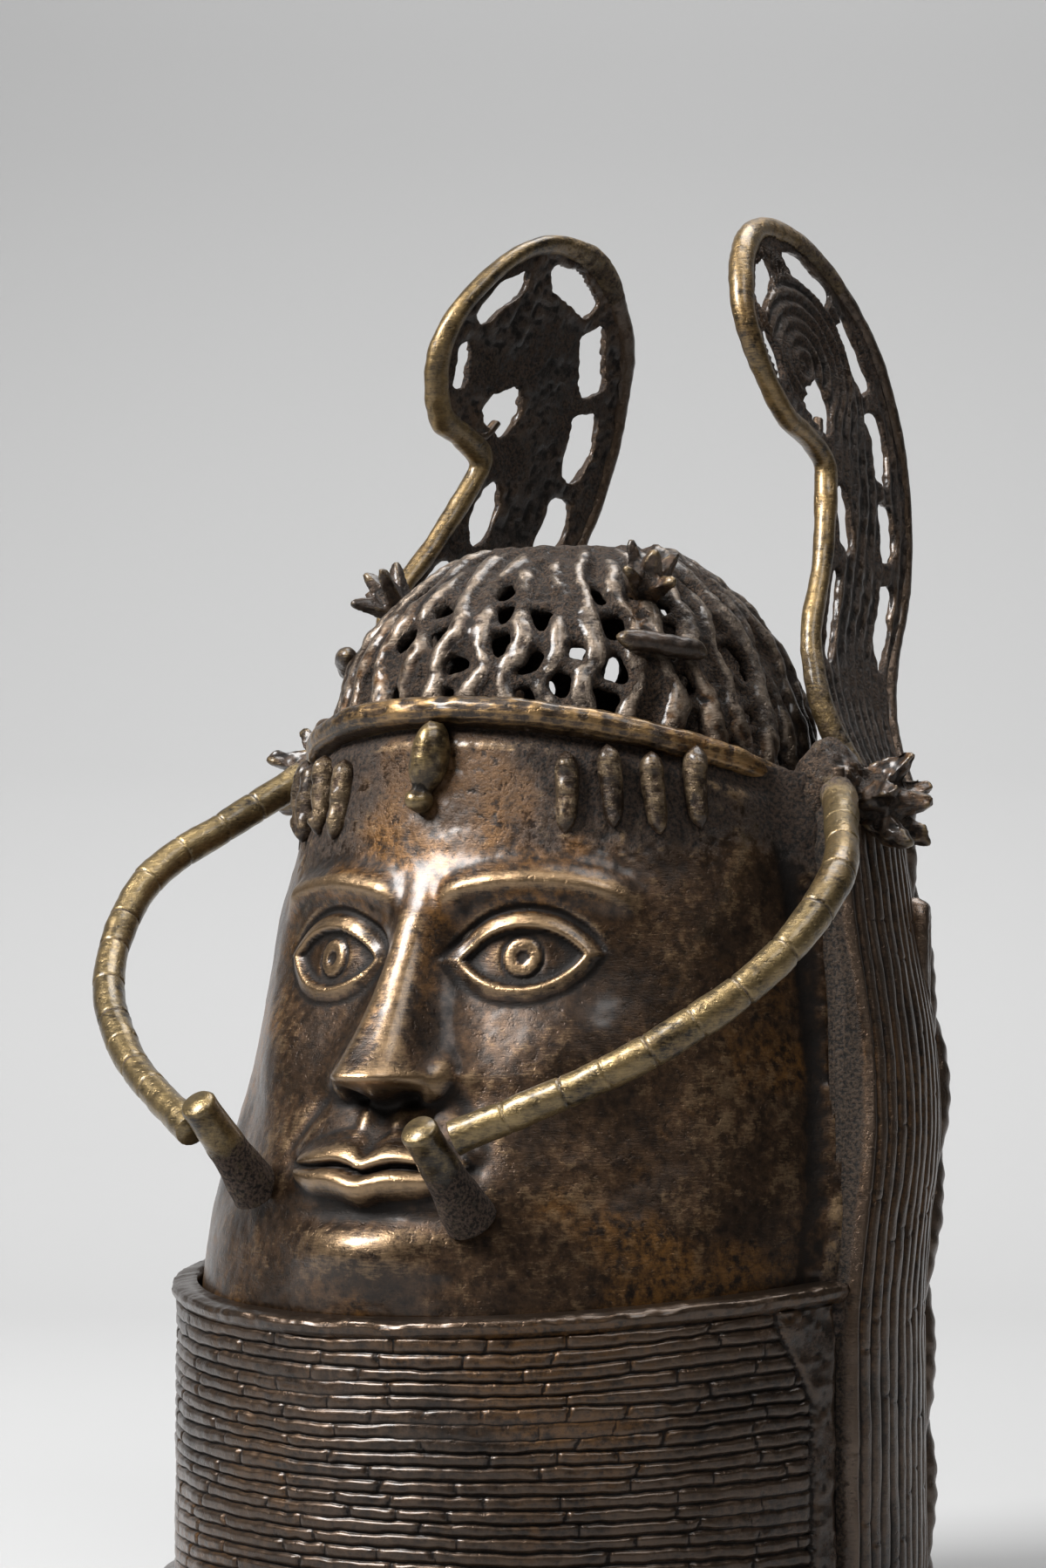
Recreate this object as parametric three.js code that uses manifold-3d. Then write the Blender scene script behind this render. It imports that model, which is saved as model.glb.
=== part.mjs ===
// A royal altar head in cast bronze, with a winged bead cap, a high bead collar,
// rosettes of studs and two rods that spring from the temples and arch forward.
// Millimetres, +Z up. The face looks along -Y, and the figure's left is +X.
// The origin is the middle of the underside of the foot flange.
// Angles round the head are in degrees from the front, growing towards +X.
import * as THREE from 'three';
import { mergeVertices } from 'three/addons/utils/BufferGeometryUtils.js';
import Module from 'manifold-3d';

const wasm = await Module();
wasm.setup();

// Driving dimensions of the foot and the collar
const flangeRadius = 155;
const flangeEdge = 9;
const flangeTop = 28;
const collarRadius = 120;
const collarWall = 7;
const ringCount = 20;
const ringPitch = 4.6;
const ringGroove = 1.5;
const lipHeight = 6;
const lipProud = 2.5;
const lipDip = 9;

// Driving dimensions of the head, whose face turns a little to the figure's left
const faceTurn = 4;
const headSetBack = 18;
const jawRadius = 112;
const templeRadius = 93;
const browRadius = 85;
const headWall = 8;

// Driving dimensions of the cap
const capRadius = 82;
const capWall = 5;
const capTop = 359;
const capRimLow = 278;
const capRimHigh = 302;
const crownRadius = 26;
const crownLip = 8;
const rimRadius = 90;
const rimHeight = 8;
const rimDepth = 13;
const capRibs = 18;
const latticeSteps = [5, 23, 39, 54];
const latticeRows = [
  { every: 1, rise: 14, width: 5.4, height: 10 },
  { every: 1, rise: 31, width: 5, height: 9 },
  { every: 2, rise: 46.5, width: 4.6, height: 8 },
];

// Driving dimensions of the strands, the locks and the ears
const strandTop = 284;
const strandRadiusTop = 109;
const strandRadiusLow = 124;
const strandDepth = 9;
const strandGroove = 1.6;
const sideStrands = { from: 84, to: 116, count: 8 };
const backStrands = { from: 142, to: 218, count: 11 };
const napeStep = 5;
const lockAngle = 132;
const lockRadius = 9;
const lockTwist = 44;
const earAngle = 117.5;
const earHeight = 212;
const earRadius = 19;
const earRim = 4.5;

// Driving dimensions of the studs, the pendant and the marks on the brow
const rosettePlace = { x: 104, y: 24 };
const rosetteLift = { left: -5, right: 11 };
const rosetteStuds = 6;
const rosetteReach = 26;
const rosetteStudRadius = 6.4;
const moundRadius = 13;
const clusterAngle = 55.5;
const clusterRise = 43;
const clusterStuds = 5;
const clusterReach = 18;
const clusterStudRadius = 4.8;
const clusterBarRise = 24;
const clusterBarLength = 34;
const pendantSide = 6;
const pendantBead = 7.5;
const pendantKnob = 4.6;
const browBars = { count: 4, first: 28, step: 9, bottom: 256, length: 26, radius: 3.2 };

// Driving dimensions of the arch rods and the stubs that they end on
const rodRadius = 5.6;
const stubRadius = 6;
const rodPlan = [
  [97, 17, 281],
  [107, 7, 275],
  [120, -14, 264],
  [134, -42, 247],
  [126, -71, 219],
  [97, -96, 194],
  [50, -119, 171],
];
const stubFoot = [41, -92, 140];
const stubEnd = [42, -126, 174];
const stubDrop = { left: 0, right: 6 };
const rodLift = { left: 0, right: 18 };

// Driving dimensions of the wings, drawn flat as depth and height
const wingThickness = 4.5;
const wingFrameRadius = 3.9;
const wingRodPoints = 12;
const wingInset = 31;
const wingSink = 10;
const wingDrawnFoot = 274;
const wingMiddle = 380;
const wingFrontDepth = 41;
const wingRise = { from: 300, to: 345 };
const wingCurl = { in: 18, from: 320, to: 465 };
const wingFlare = { out: 18.7, from: 340, to: 280 };
const wingOutline = [
  [38, 280],
  [34, 307],
  [38, 328],
  [50, 352],
  [58, 376],
  [59, 389],
  [47, 396],
  [30, 402],
  [13, 427],
  [17, 447],
  [34, 465],
  [66, 466],
  [105, 439],
  [121, 409],
  [126, 378],
  [121, 345],
  [101, 312],
  [86, 274],
];
const wingSlots = {
  discFront: [[22, 438], [26, 449], [36, 455], [39, 449], [27, 435]],
  discTop: [[47, 459], [63, 459], [81, 450], [78, 444], [53, 452]],
  discBack: [[81, 437], [89, 443], [105, 421], [95, 417]],
  discLow: [[21, 427], [26, 428], [34, 414], [29, 413]],
  discFoot: [[47, 407], [50, 412], [61, 417], [67, 408], [63, 398], [52, 403]],
  backHigh: [[96, 410], [108, 411], [113, 398], [110, 387], [102, 388]],
  backMiddle: [[102, 380], [112, 379], [115, 367], [111, 360], [101, 361]],
  backLow: [[99, 350], [112, 352], [109, 336], [97, 321], [93, 328]],
  frontHigh: [[65, 379], [70, 383], [75, 376], [76, 363], [71, 359], [65, 367]],
  frontMiddle: [[58, 352], [65, 353], [60, 337], [50, 321], [46, 323]],
};
const wingSides = {
  left: { sign: 1, lift: 0, leanBack: 0, leanIn: 0 },
  right: { sign: -1, lift: 12, leanBack: 0.37, leanIn: 0.14 },
};

const bronzeColour = 0x3d2c1f;

const collarTop = flangeTop + ringCount * ringPitch;
const lipTop = collarTop + lipHeight;
const wingStand = strandRadiusTop - wingInset;
const rosetteHeight = { left: capRimLow + rosetteLift.left, right: capRimLow + rosetteLift.right };
const capTopRise = THREE.MathUtils.radToDeg(Math.acos((crownRadius + crownLip) / capRadius));

const radians = THREE.MathUtils.degToRad;
const between = THREE.MathUtils.lerp;
const easeFrom = THREE.MathUtils.smoothstep;
const clamp = THREE.MathUtils.clamp;
const signOf = { left: 1, right: -1 };
const sides = Object.keys(signOf);

// A closed mesh with its shared vertices merged, as a solid
function solidFrom(geometry) {
  const bare = geometry.clone();
  bare.deleteAttribute('normal');
  bare.deleteAttribute('uv');
  const merged = mergeVertices(bare, 1e-3);
  const corners = Array.from(merged.index.array);
  const kept = corners.filter((corner, i) => {
    const [a, b, c] = corners.slice(i - (i % 3), i - (i % 3) + 3);
    return a !== b && b !== c && c !== a;
  });
  return new wasm.Manifold(new wasm.Mesh({
    numProp: 3,
    vertProperties: new Float32Array(merged.attributes.position.array),
    triVerts: new Uint32Array(kept),
  }));
}

function geometryFrom(solid) {
  const mesh = solid.getMesh();
  const geometry = new THREE.BufferGeometry();
  geometry.setAttribute('position', new THREE.BufferAttribute(mesh.vertProperties, 3));
  geometry.setIndex(new THREE.BufferAttribute(mesh.triVerts, 1));
  return geometry;
}

function joined(solids) {
  return solids.reduce((whole, next) => whole.add(next));
}

// Every vertex goes where place says, from its own x, y and z
function reshape(geometry, place) {
  const position = geometry.attributes.position;
  for (let i = 0; i < position.count; i += 1) {
    const [x, y, z] = place(position.getX(i), position.getY(i), position.getZ(i));
    position.setXYZ(i, x, y, z);
  }
  return geometry;
}

// A point at an angle round the vertical axis that stands at a depth
function roundPoint(angle, radius, height, axisDepth = 0) {
  const turn = radians(angle);
  return [radius * Math.sin(turn), axisDepth - radius * Math.cos(turn), height];
}

// A closed skin turned about the vertical: each row takes an angle and gives a point,
// and the first and the last row close it at a pole
function skin(rows, segments) {
  const points = rows.map((row, index) => new THREE.Vector2(1, index));
  const geometry = new THREE.LatheGeometry(points, segments);
  geometry.rotateX(Math.PI / 2);
  return solidFrom(reshape(geometry, (x, y, index) => {
    return rows[Math.round(index)](THREE.MathUtils.radToDeg(Math.atan2(x, -y)));
  }));
}

// The row of a skin that closes it on the axis
function pole(height) {
  return () => [0, axisDepth(height), height];
}

// A round bar from one point to another
function barBetween(start, end, startRadius, endRadius, faces) {
  const from = new THREE.Vector3(...start);
  const to = new THREE.Vector3(...end);
  const along = to.clone().sub(from);
  const geometry = new THREE.CylinderGeometry(endRadius, startRadius, along.length(), faces);
  const turn = new THREE.Quaternion();
  turn.setFromUnitVectors(new THREE.Vector3(0, 1, 0), along.normalize());
  geometry.applyQuaternion(turn);
  geometry.translate(...from.add(to).multiplyScalar(0.5).toArray());
  return solidFrom(geometry);
}

// A rod of even thickness along a smooth curve through points
function rodAlong(points, radius, faces, steps) {
  const section = new THREE.Shape();
  for (let i = 0; i < faces; i += 1) {
    const turn = (i / faces) * 2 * Math.PI;
    const corner = [radius * Math.cos(turn), radius * Math.sin(turn)];
    if (i === 0) section.moveTo(...corner);
    else section.lineTo(...corner);
  }
  section.closePath();
  const path = new THREE.CatmullRomCurve3(points.map((point) => new THREE.Vector3(...point)));
  return solidFrom(new THREE.ExtrudeGeometry(section, { steps, extrudePath: path, bevelEnabled: false }));
}

// How far back the head's own axis stands at a height
function axisDepth(height) {
  return headSetBack * easeFrom(height, 105, 205);
}

// How much an angle looks forward, from 1 at the front to 0 at the sides and behind
function forward(angle) {
  return Math.max(0, Math.cos(radians(angle)));
}

function rimLevel(angle) {
  return between(capRimLow, capRimHigh, forward(angle));
}

// How far the collar's rings and edge sag at the front, at a height
function collarSag(angle, height) {
  return lipDip * easeFrom(height, flangeTop, lipTop) * forward(angle) ** 1.5;
}

// The foot flange and the body of the collar, with its raised top edge
function collar() {
  const profile = [
    [flangeRadius, 0],
    [flangeRadius, flangeEdge],
    [flangeRadius - 7, flangeEdge + 4],
    [collarRadius + 12, flangeTop - 9],
    [collarRadius + 4, flangeTop],
    [collarRadius - 2 * ringGroove, flangeTop + 1],
    [collarRadius - 2 * ringGroove, collarTop + 0.5],
    [collarRadius + lipProud, collarTop + lipHeight * 0.3],
    [collarRadius + lipProud - 1, lipTop],
    [collarRadius - collarWall, lipTop],
  ];
  const rows = profile.map(([radius, height]) => (angle) => {
    return roundPoint(angle, radius, height - collarSag(angle, height));
  });
  return skin([pole(0), ...rows, pole(lipTop - lipDip)], 28);
}

// The stacked rings of beads round the front of the collar
function beadRings() {
  const slab = new THREE.BoxGeometry(1, 1, 1, 10, 2 * ringCount, 1);
  return solidFrom(reshape(slab, (across, up, out) => {
    const row = Math.round((up + 0.5) * 2 * ringCount);
    const angle = 2 * across * (sideStrands.from - 1.5);
    const height = flangeTop + row * ringPitch * 0.5;
    const groove = row % 2 === 0 ? ringGroove : 0;
    const radius = collarRadius - (out > 0 ? groove : 3 * ringGroove);
    return roundPoint(angle, radius, height - collarSag(angle, height));
  }));
}

function swell(offset, spread) {
  return Math.exp(-((offset / spread) ** 2));
}

// Carving of a calm, even face: the brow a third of the way down from the cap's
// edge to the chin, the foot of the nose at two thirds, the eyes an eye's width apart
function carving(angle, height) {
  const chinLevel = collarTop;
  const third = (capRimHigh - chinLevel) / 3;
  const browLevel = chinLevel + 2 * third;
  const noseLevel = chinLevel + third;
  const mouthLevel = noseLevel - third / 3;
  const side = Math.abs(angle - faceTurn);
  const eyeAngle = 20;
  let relief = 3.5 * swell(side - eyeAngle, 13) * swell(height - browLevel - 3, 7);
  relief -= 6 * swell(side - eyeAngle, 12) * swell(height - browLevel + 17, 13);
  relief += 6.5 * swell(side - eyeAngle, 8) * swell(height - browLevel + 17, 8);
  const alongNose = THREE.MathUtils.clamp((browLevel - height) / (browLevel - noseLevel), 0, 1);
  const noseFoot = easeFrom(height, noseLevel - 5, noseLevel + 5);
  relief += between(3, 25, alongNose) * swell(side, between(4.5, 7.5, alongNose)) * noseFoot;
  relief += 9 * swell(side - 10, 5) * swell(height - noseLevel - 9, 8);
  relief += 8 * swell(side, 15) * swell(height - mouthLevel - 6, 5);
  relief += 7 * swell(side, 13) * swell(height - mouthLevel + 7, 6);
  relief += 6 * swell(side, 13) * swell(height - chinLevel - 14, 11);
  relief += 4 * swell(side - 38, 17) * swell(height - noseLevel - 22, 22);
  return relief;
}

// Radius of the bare head about its own axis. It swells up to the side strands where
// the cheek meets them, and lies deeper under the strands behind
function headRadius(angle, height) {
  const side = Math.abs(angle);
  const jaw = between(jawRadius, templeRadius + 9, easeFrom(height, 140, 225));
  const skull = between(jaw, templeRadius, easeFrom(height, 205, capRimLow));
  const face = between(skull, browRadius, forward(angle) * easeFrom(height, 235, 290));
  const sunk = between(0.55 * strandDepth, strandDepth, easeFrom(side, 95, 118));
  return between(face, strandRadius(height) - sunk, easeFrom(side, 77, 87));
}

// The head, from inside the collar up to the edge of the cap, with closer columns
// over the face than behind
function head() {
  const bottom = collarTop - 10;
  const count = 18;
  const rows = Array.from({ length: count + 1 }, (unused, row) => (evenAngle) => {
    const angle = evenAngle - 29 * Math.sin(radians(evenAngle));
    const height = between(bottom, capRimLow, row / count);
    const lift = (rimLevel(angle) - capRimLow) * easeFrom(height, 235, capRimLow);
    const level = height + lift;
    return roundPoint(angle, headRadius(angle, level) + carving(angle, level), level, axisDepth(level));
  });
  return skin([pole(bottom), ...rows, pole(capRimLow)], 34);
}

// A point on the cap's outside, from its angle and its rise in degrees
function capPoint(angle, rise, proud = 0) {
  const climb = Math.sin(radians(rise)) / Math.sin(radians(capTopRise));
  const level = rimLevel(angle);
  const radius = (capRadius + proud) * Math.cos(radians(rise));
  return roundPoint(angle, radius, level + climb * (capTop - level) + proud * climb, headSetBack);
}

// The dome of the cap, up to the flat top that the crown opening is cut in
function cap() {
  const rises = [-8, ...latticeSteps, capTopRise];
  const rows = rises.map((rise) => (angle) => capPoint(angle, rise));
  return skin([pole(capRimLow - 10), ...rows, pole(capTop)], capRibs);
}

// The space inside the casting, open below and at the crown
function hollow() {
  const levels = [collarTop + 2, 165, 215, 255];
  const collarInside = collarRadius - ringGroove - collarWall;
  const rows = [
    (angle) => roundPoint(angle, collarInside, -1),
    (angle) => roundPoint(angle, collarInside, collarTop - 12),
    ...levels.map((level) => (angle) => {
      return roundPoint(angle, headRadius(angle, level) - headWall, level, axisDepth(level));
    }),
    ...latticeSteps.map((rise) => (angle) => capPoint(angle, rise, -capWall)),
    (angle) => roundPoint(angle, crownRadius, capTop - capWall, headSetBack),
    (angle) => roundPoint(angle, crownRadius, capTop + 1, headSetBack),
  ];
  return skin([pole(-1), ...rows, pole(capTop + 1)], capRibs);
}

// One ring of tall holes between the ribs of the cap, left out under the stud clusters
function latticeHoles(row) {
  const holes = [];
  for (let i = 0; i < capRibs; i += row.every) {
    const angle = ((i + 0.5) / capRibs) * 360 - 180;
    const fromCluster = Math.abs(Math.abs(angle) - clusterAngle);
    if (fromCluster < 14 && row.rise > 25) continue;
    const hole = new THREE.BoxGeometry(row.width, row.height, capWall * 4);
    const centre = new THREE.Vector3(...capPoint(angle, row.rise));
    const out = new THREE.Vector3(...capPoint(angle, row.rise, 10)).sub(centre);
    const aim = new THREE.Object3D();
    aim.up.set(0, 0, 1);
    aim.lookAt(out);
    hole.applyQuaternion(aim.quaternion);
    hole.translate(...centre.toArray());
    holes.push(solidFrom(hole));
  }
  return holes;
}

// The ledge that runs all round the cap's edge, high over the brow and low at the temples
function rim() {
  const foot = -0.6 * rimHeight;
  const edge = [
    [0.9 * rimRadius, foot],
    [rimRadius - 2, foot],
    [rimRadius, foot + rimHeight * 0.5],
    [rimRadius - 1, foot + rimHeight],
    [rimRadius - rimDepth, foot + rimHeight],
  ];
  const rows = edge.map(([radius, step]) => (angle) => {
    const behind = Math.max(0, Math.abs(angle) - 90) / 90;
    const reach = radius > rimRadius - 5 ? (strandRadiusTop - rimRadius) * behind : 0;
    return roundPoint(angle, radius + reach, rimLevel(angle) + step, headSetBack);
  });
  return skin([pole(capRimLow - rimHeight), ...rows, pole(capRimLow)], 26);
}

function strandRadius(height) {
  return between(strandRadiusLow, strandRadiusTop, easeFrom(height, 150, strandTop));
}

// A panel that hangs from the cap's edge down to the foot, in as many bead strands
// as its count, set back by a step
function hangingPanel({ from, to, count, groove, step }) {
  const slab = new THREE.BoxGeometry(1, 1, 1, 2 * count, 5, 1);
  return solidFrom(reshape(slab, (across, up, out) => {
    const angle = between(from, to, across + 0.5);
    const height = between(flangeTop - 6, strandTop - step, up + 0.5);
    const column = Math.round((across + 0.5) * 2 * count);
    const valley = column % 2 === 0 ? groove : 0;
    const radius = strandRadius(height) - (out > 0 ? step + valley : strandDepth + 3);
    return roundPoint(angle, radius, height, axisDepth(height));
  }));
}

// The strands beside the face, and the plain nape that the lock lies on behind them
function sidePanels(sign) {
  const { from, to, count } = sideStrands;
  const spans = [
    { ends: [from, to], count, groove: strandGroove, step: 0 },
    { ends: [to - 2, backStrands.from + 2], count: 1, groove: 0, step: napeStep },
  ];
  return spans.map(({ ends, ...rest }) => {
    const [low, high] = ends.map((angle) => sign * angle).sort((a, b) => a - b);
    return hangingPanel({ from: low, to: high, ...rest });
  });
}

// A twisted lock of hair behind each ear, down to the foot
function lock(sign) {
  const bottom = flangeTop - 8;
  const column = new THREE.CylinderGeometry(1, 1, 1, 6, 16);
  column.rotateX(Math.PI / 2);
  return solidFrom(reshape(column, (x, y, z) => {
    const height = between(bottom, strandTop - 4, z + 0.5);
    const turn = Math.atan2(y, x);
    const twist = Math.cos(2 * turn - sign * (height / lockTwist) * 2 * Math.PI);
    const thick = Math.hypot(x, y) * (lockRadius + 1.8 * twist);
    const centre = roundPoint(sign * lockAngle, strandRadius(height) - 4, height, axisDepth(height));
    return [centre[0] + thick * Math.cos(turn), centre[1] + thick * Math.sin(turn), height];
  }));
}

// An ear that stands behind the side strands: a raised rim round a hollow
function ear(sign) {
  const ring = new THREE.TorusGeometry(earRadius, earRim, 4, 8);
  const plateRadius = earRadius + earRim;
  const plate = new THREE.CylinderGeometry(plateRadius, plateRadius, strandDepth, 8);
  plate.rotateX(Math.PI / 2);
  plate.translate(0, 0, -strandDepth / 2);
  const radius = strandRadius(earHeight) - 3;
  return [ring, plate].map((geometry) => {
    geometry.scale(0.46, 1.5, 1);
    return solidFrom(reshape(geometry, (x, y, z) => {
      const angle = sign * earAngle + THREE.MathUtils.radToDeg(x / radius);
      const tilt = 0.2 * sign * (y / radius);
      const height = earHeight + y;
      return roundPoint(angle - THREE.MathUtils.radToDeg(tilt), radius + z, height, axisDepth(height));
    }));
  });
}

// A rounded lump of the casting's earth and metal at the temple, where the ledge,
// the rod and the rosette meet
function mound(side) {
  const lump = new THREE.IcosahedronGeometry(moundRadius, 1);
  lump.scale(1, 1.1, 1.3);
  const depth = rosettePlace.y - 8;
  lump.translate(signOf[side] * (rosettePlace.x - 6), depth, rosetteHeight[side] + 5);
  return solidFrom(lump);
}

// Pointed studs that fan out from a centre round the way that it faces
function studFan(centre, facing, count, reach, studWidth, spread) {
  const out = new THREE.Vector3(...facing).normalize();
  const across = new THREE.Vector3(0, 0, 1).cross(out).normalize();
  const up = out.clone().cross(across);
  const studs = [barBetween(centre, tipOf(0, 0), studWidth * 1.3, studWidth * 0.45, 5)];
  for (let i = 1; i < count; i += 1) {
    const turn = (i / (count - 1)) * 2 * Math.PI + 0.4;
    studs.push(barBetween(centre, tipOf(turn, spread), studWidth, studWidth * 0.3, 4));
  }
  return studs;

  function tipOf(turn, lean) {
    const way = out.clone();
    way.addScaledVector(across, lean * Math.cos(turn));
    way.addScaledVector(up, lean * Math.sin(turn));
    way.normalize().multiplyScalar(reach);
    return way.add(new THREE.Vector3(...centre)).toArray();
  }
}

function rosette(side) {
  const sign = signOf[side];
  const height = rosetteHeight[side];
  const centre = [sign * rosettePlace.x, rosettePlace.y, height];
  const root = [sign * (rosettePlace.x - 14), rosettePlace.y, height - 2];
  const boss = barBetween(root, centre, 14, 10, 8);
  const fan = studFan(centre, [sign, 0.15, 0], rosetteStuds, rosetteReach, rosetteStudRadius, 0.8);
  return [boss, mound(side), ...fan];
}

// Five studs on the side of the cap, and the bead bar under them
function capCluster(side) {
  const angle = signOf[side] * clusterAngle;
  const root = capPoint(angle, clusterRise, -3);
  const tip = capPoint(angle, clusterRise, 12);
  const facing = tip.map((value, axis) => value - root[axis]);
  const half = THREE.MathUtils.radToDeg(clusterBarLength / 2 / capRadius);
  const ends = [-half, half].map((offset) => capPoint(angle + offset, clusterBarRise, 3));
  return [
    ...studFan(root, facing, clusterStuds, clusterReach, clusterStudRadius, 0.8),
    barBetween(...ends, 3.6, 3.6, 6),
    barBetween(capPoint(angle, clusterBarRise, -2), capPoint(angle, clusterBarRise, 3), 5, 3, 6),
  ];
}

// The bead and knob that hang forward from the middle of the cap's edge
function pendant() {
  const depth = headSetBack - rimRadius;
  const bead = new THREE.SphereGeometry(pendantBead, 8, 5);
  bead.scale(1, 1, 1.35);
  bead.translate(pendantSide, depth + 1, capRimHigh - 15);
  const knob = new THREE.SphereGeometry(pendantKnob, 6, 4);
  knob.scale(1, 1, 1.2);
  knob.translate(pendantSide, depth - 3, capRimHigh - 28);
  const neck = barBetween(
    [pendantSide, depth + 4, capRimHigh - 4],
    [pendantSide, depth - 3, capRimHigh - 28],
    4,
    3,
    6,
  );
  const tie = barBetween([pendantSide, depth + 12, capRimHigh - 14], [pendantSide, depth, capRimHigh - 14], 5, 5, 6);
  return [solidFrom(bead), solidFrom(knob), neck, tie];
}

// Short raised bars on the brow, side by side under the cap's edge
function browBar(angle) {
  const foot = browBars.bottom;
  const top = foot + browBars.length;
  const ends = [foot, top].map((height) => {
    return roundPoint(angle, headRadius(angle, height) + 0.8, height, axisDepth(height));
  });
  return barBetween(...ends, browBars.radius * 0.8, browBars.radius, 5);
}

// A rod from the temple that arches out and forward to a stub on the cheek
function archRod(side) {
  const sign = signOf[side];
  const last = rodPlan.length - 1;
  const points = rodPlan.map(([x, y, z], index) => {
    return [sign * x, y, z + rodLift[side] * (1 - index / last) ** 2];
  });
  const drop = stubDrop[side];
  const foot = [sign * stubFoot[0], stubFoot[1], stubFoot[2] + drop];
  const end = [sign * stubEnd[0], stubEnd[1], stubEnd[2] + drop];
  return [rodAlong(points, rodRadius, 6, 20), barBetween(foot, end, stubRadius, stubRadius, 8)];
}

// Where a point of the flat wing stands, from its depth, its height and its offset out
function wingPlace(side, depth, height, out) {
  const { sign, lift, leanBack, leanIn } = wingSides[side];
  const above = height - wingMiddle;
  const splay = 0.12 - (0.26 * above) / wingMiddle;
  const curled = Math.max((height - wingCurl.from) / (wingCurl.to - wingCurl.from), 0);
  const flared = clamp((height - wingFlare.from) / (wingFlare.to - wingFlare.from), 0, 1);
  const rising = easeFrom(height, wingRise.from, wingRise.to);
  const bow = wingFlare.out * flared ** 2 - wingCurl.in * curled ** 2 - leanIn * above * rising;
  const x = wingStand - splay * (depth - wingFrontDepth) + bow;
  const y = depth + leanBack * above * rising;
  const z = strandTop - wingSink + height - wingDrawnFoot;
  return [sign * (x + out), y, z + lift * rising];
}

// Flat plate of the wing inside its frame, with slots round the disc and down the stem
function wingPlate(side) {
  const outline = new THREE.SplineCurve(wingOutline.map((point) => new THREE.Vector2(...point)));
  const plate = new THREE.Shape(outline.getSpacedPoints(25).reverse());
  for (const corners of Object.values(wingSlots)) {
    plate.holes.push(new THREE.Path(corners.map((point) => new THREE.Vector2(...point))));
  }
  const flat = new THREE.ExtrudeGeometry(plate, { depth: wingThickness, bevelEnabled: false });
  const slab = geometryFrom(solidFrom(flat));
  reshape(slab, (depth, height, out) => wingPlace(side, depth, height, out - wingThickness / 2));
  return turnedOut(slab);
}

// A mesh whose faces point out, whichever way its placing turned them
function turnedOut(geometry) {
  const solid = solidFrom(geometry);
  if (solid.volume() > 0) return solid;
  const index = geometry.index.array;
  for (let i = 0; i < index.length; i += 3) {
    [index[i], index[i + 1]] = [index[i + 1], index[i]];
  }
  return solidFrom(geometry);
}

// The wing: its plate, and a rod that waves up its front edge from the temple, curls in
// and loops over the disc
function wing(side) {
  const front = wingOutline.slice(0, wingRodPoints);
  const points = front.map(([depth, height]) => wingPlace(side, depth, height, 0));
  return [rodAlong(points, wingFrameRadius, 5, 20), wingPlate(side)];
}

const solids = [collar(), beadRings(), head(), cap(), rim(), ...pendant()];
solids.push(hangingPanel({ ...backStrands, groove: strandGroove, step: 0 }));
for (const side of sides) {
  const sign = signOf[side];
  solids.push(...sidePanels(sign), lock(sign), ...ear(sign));
  solids.push(...rosette(side), ...capCluster(side));
  for (let i = 0; i < browBars.count; i += 1) {
    solids.push(browBar(faceTurn + sign * (browBars.first + i * browBars.step)));
  }
  solids.push(...archRod(side), ...wing(side));
}
const openings = joined([hollow(), ...latticeRows.flatMap(latticeHoles)]);
const cast = joined(solids).subtract(openings);

const bronze = new THREE.MeshStandardMaterial({ color: bronzeColour, roughness: 0.38, metalness: 0.9 });
const casting = new THREE.Mesh(geometryFrom(cast), bronze);
casting.name = 'bronze_head';

const figure = new THREE.Group();
figure.add(casting);

export default figure;
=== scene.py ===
import bpy
import numpy as np
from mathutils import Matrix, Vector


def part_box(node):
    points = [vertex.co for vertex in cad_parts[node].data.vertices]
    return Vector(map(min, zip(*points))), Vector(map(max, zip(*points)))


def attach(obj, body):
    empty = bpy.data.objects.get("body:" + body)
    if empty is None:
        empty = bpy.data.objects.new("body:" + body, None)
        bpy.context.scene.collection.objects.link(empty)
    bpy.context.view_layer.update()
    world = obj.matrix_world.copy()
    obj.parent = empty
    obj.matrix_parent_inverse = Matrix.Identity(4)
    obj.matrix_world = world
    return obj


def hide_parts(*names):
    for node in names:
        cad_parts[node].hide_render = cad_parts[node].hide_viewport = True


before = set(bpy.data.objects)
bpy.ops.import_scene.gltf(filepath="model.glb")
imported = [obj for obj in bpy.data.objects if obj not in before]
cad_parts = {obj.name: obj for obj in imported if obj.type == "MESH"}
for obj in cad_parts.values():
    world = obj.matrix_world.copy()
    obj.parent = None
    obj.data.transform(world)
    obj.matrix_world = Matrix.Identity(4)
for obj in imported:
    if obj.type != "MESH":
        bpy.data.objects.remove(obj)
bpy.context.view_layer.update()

# Foot flange
# The flange that the head stands on, cast in one with the collar above it.
# Its upper face slopes up to the collar and its edge is worn round by handling.
casting = "bronze_head"
lowest, highest = (np.array(corner) * 1000 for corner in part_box(casting))

flange_radius = (highest[0] - lowest[0]) / 2
flange_edge = 9.0
flange_top = 28.0
collar_radius = 120.0
hollow_radius = 111.5


def ease(value, low, high):
    """0 below low, 1 above high, and 3t^2 - 2t^3 of the share t of the way between."""
    share = np.clip((value - low) / (high - low), 0, 1)
    return share * share * (3 - 2 * share)


def around(angle, radius, height, axis_depth=0.0):
    """Points at angles in degrees from the front: x is the radius times the sine,
    y is the axis depth less the radius times the cosine, and z is the height."""
    turn = np.radians(angle)
    x = radius * np.sin(turn)
    y = axis_depth - radius * np.cos(turn)
    return np.stack(np.broadcast_arrays(x, y, height), axis=-1)


def full_turn(count):
    """Evenly spaced angles in degrees all the way round, as a column."""
    return np.linspace(-180, 180, count, endpoint=False)[:, None]


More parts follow.
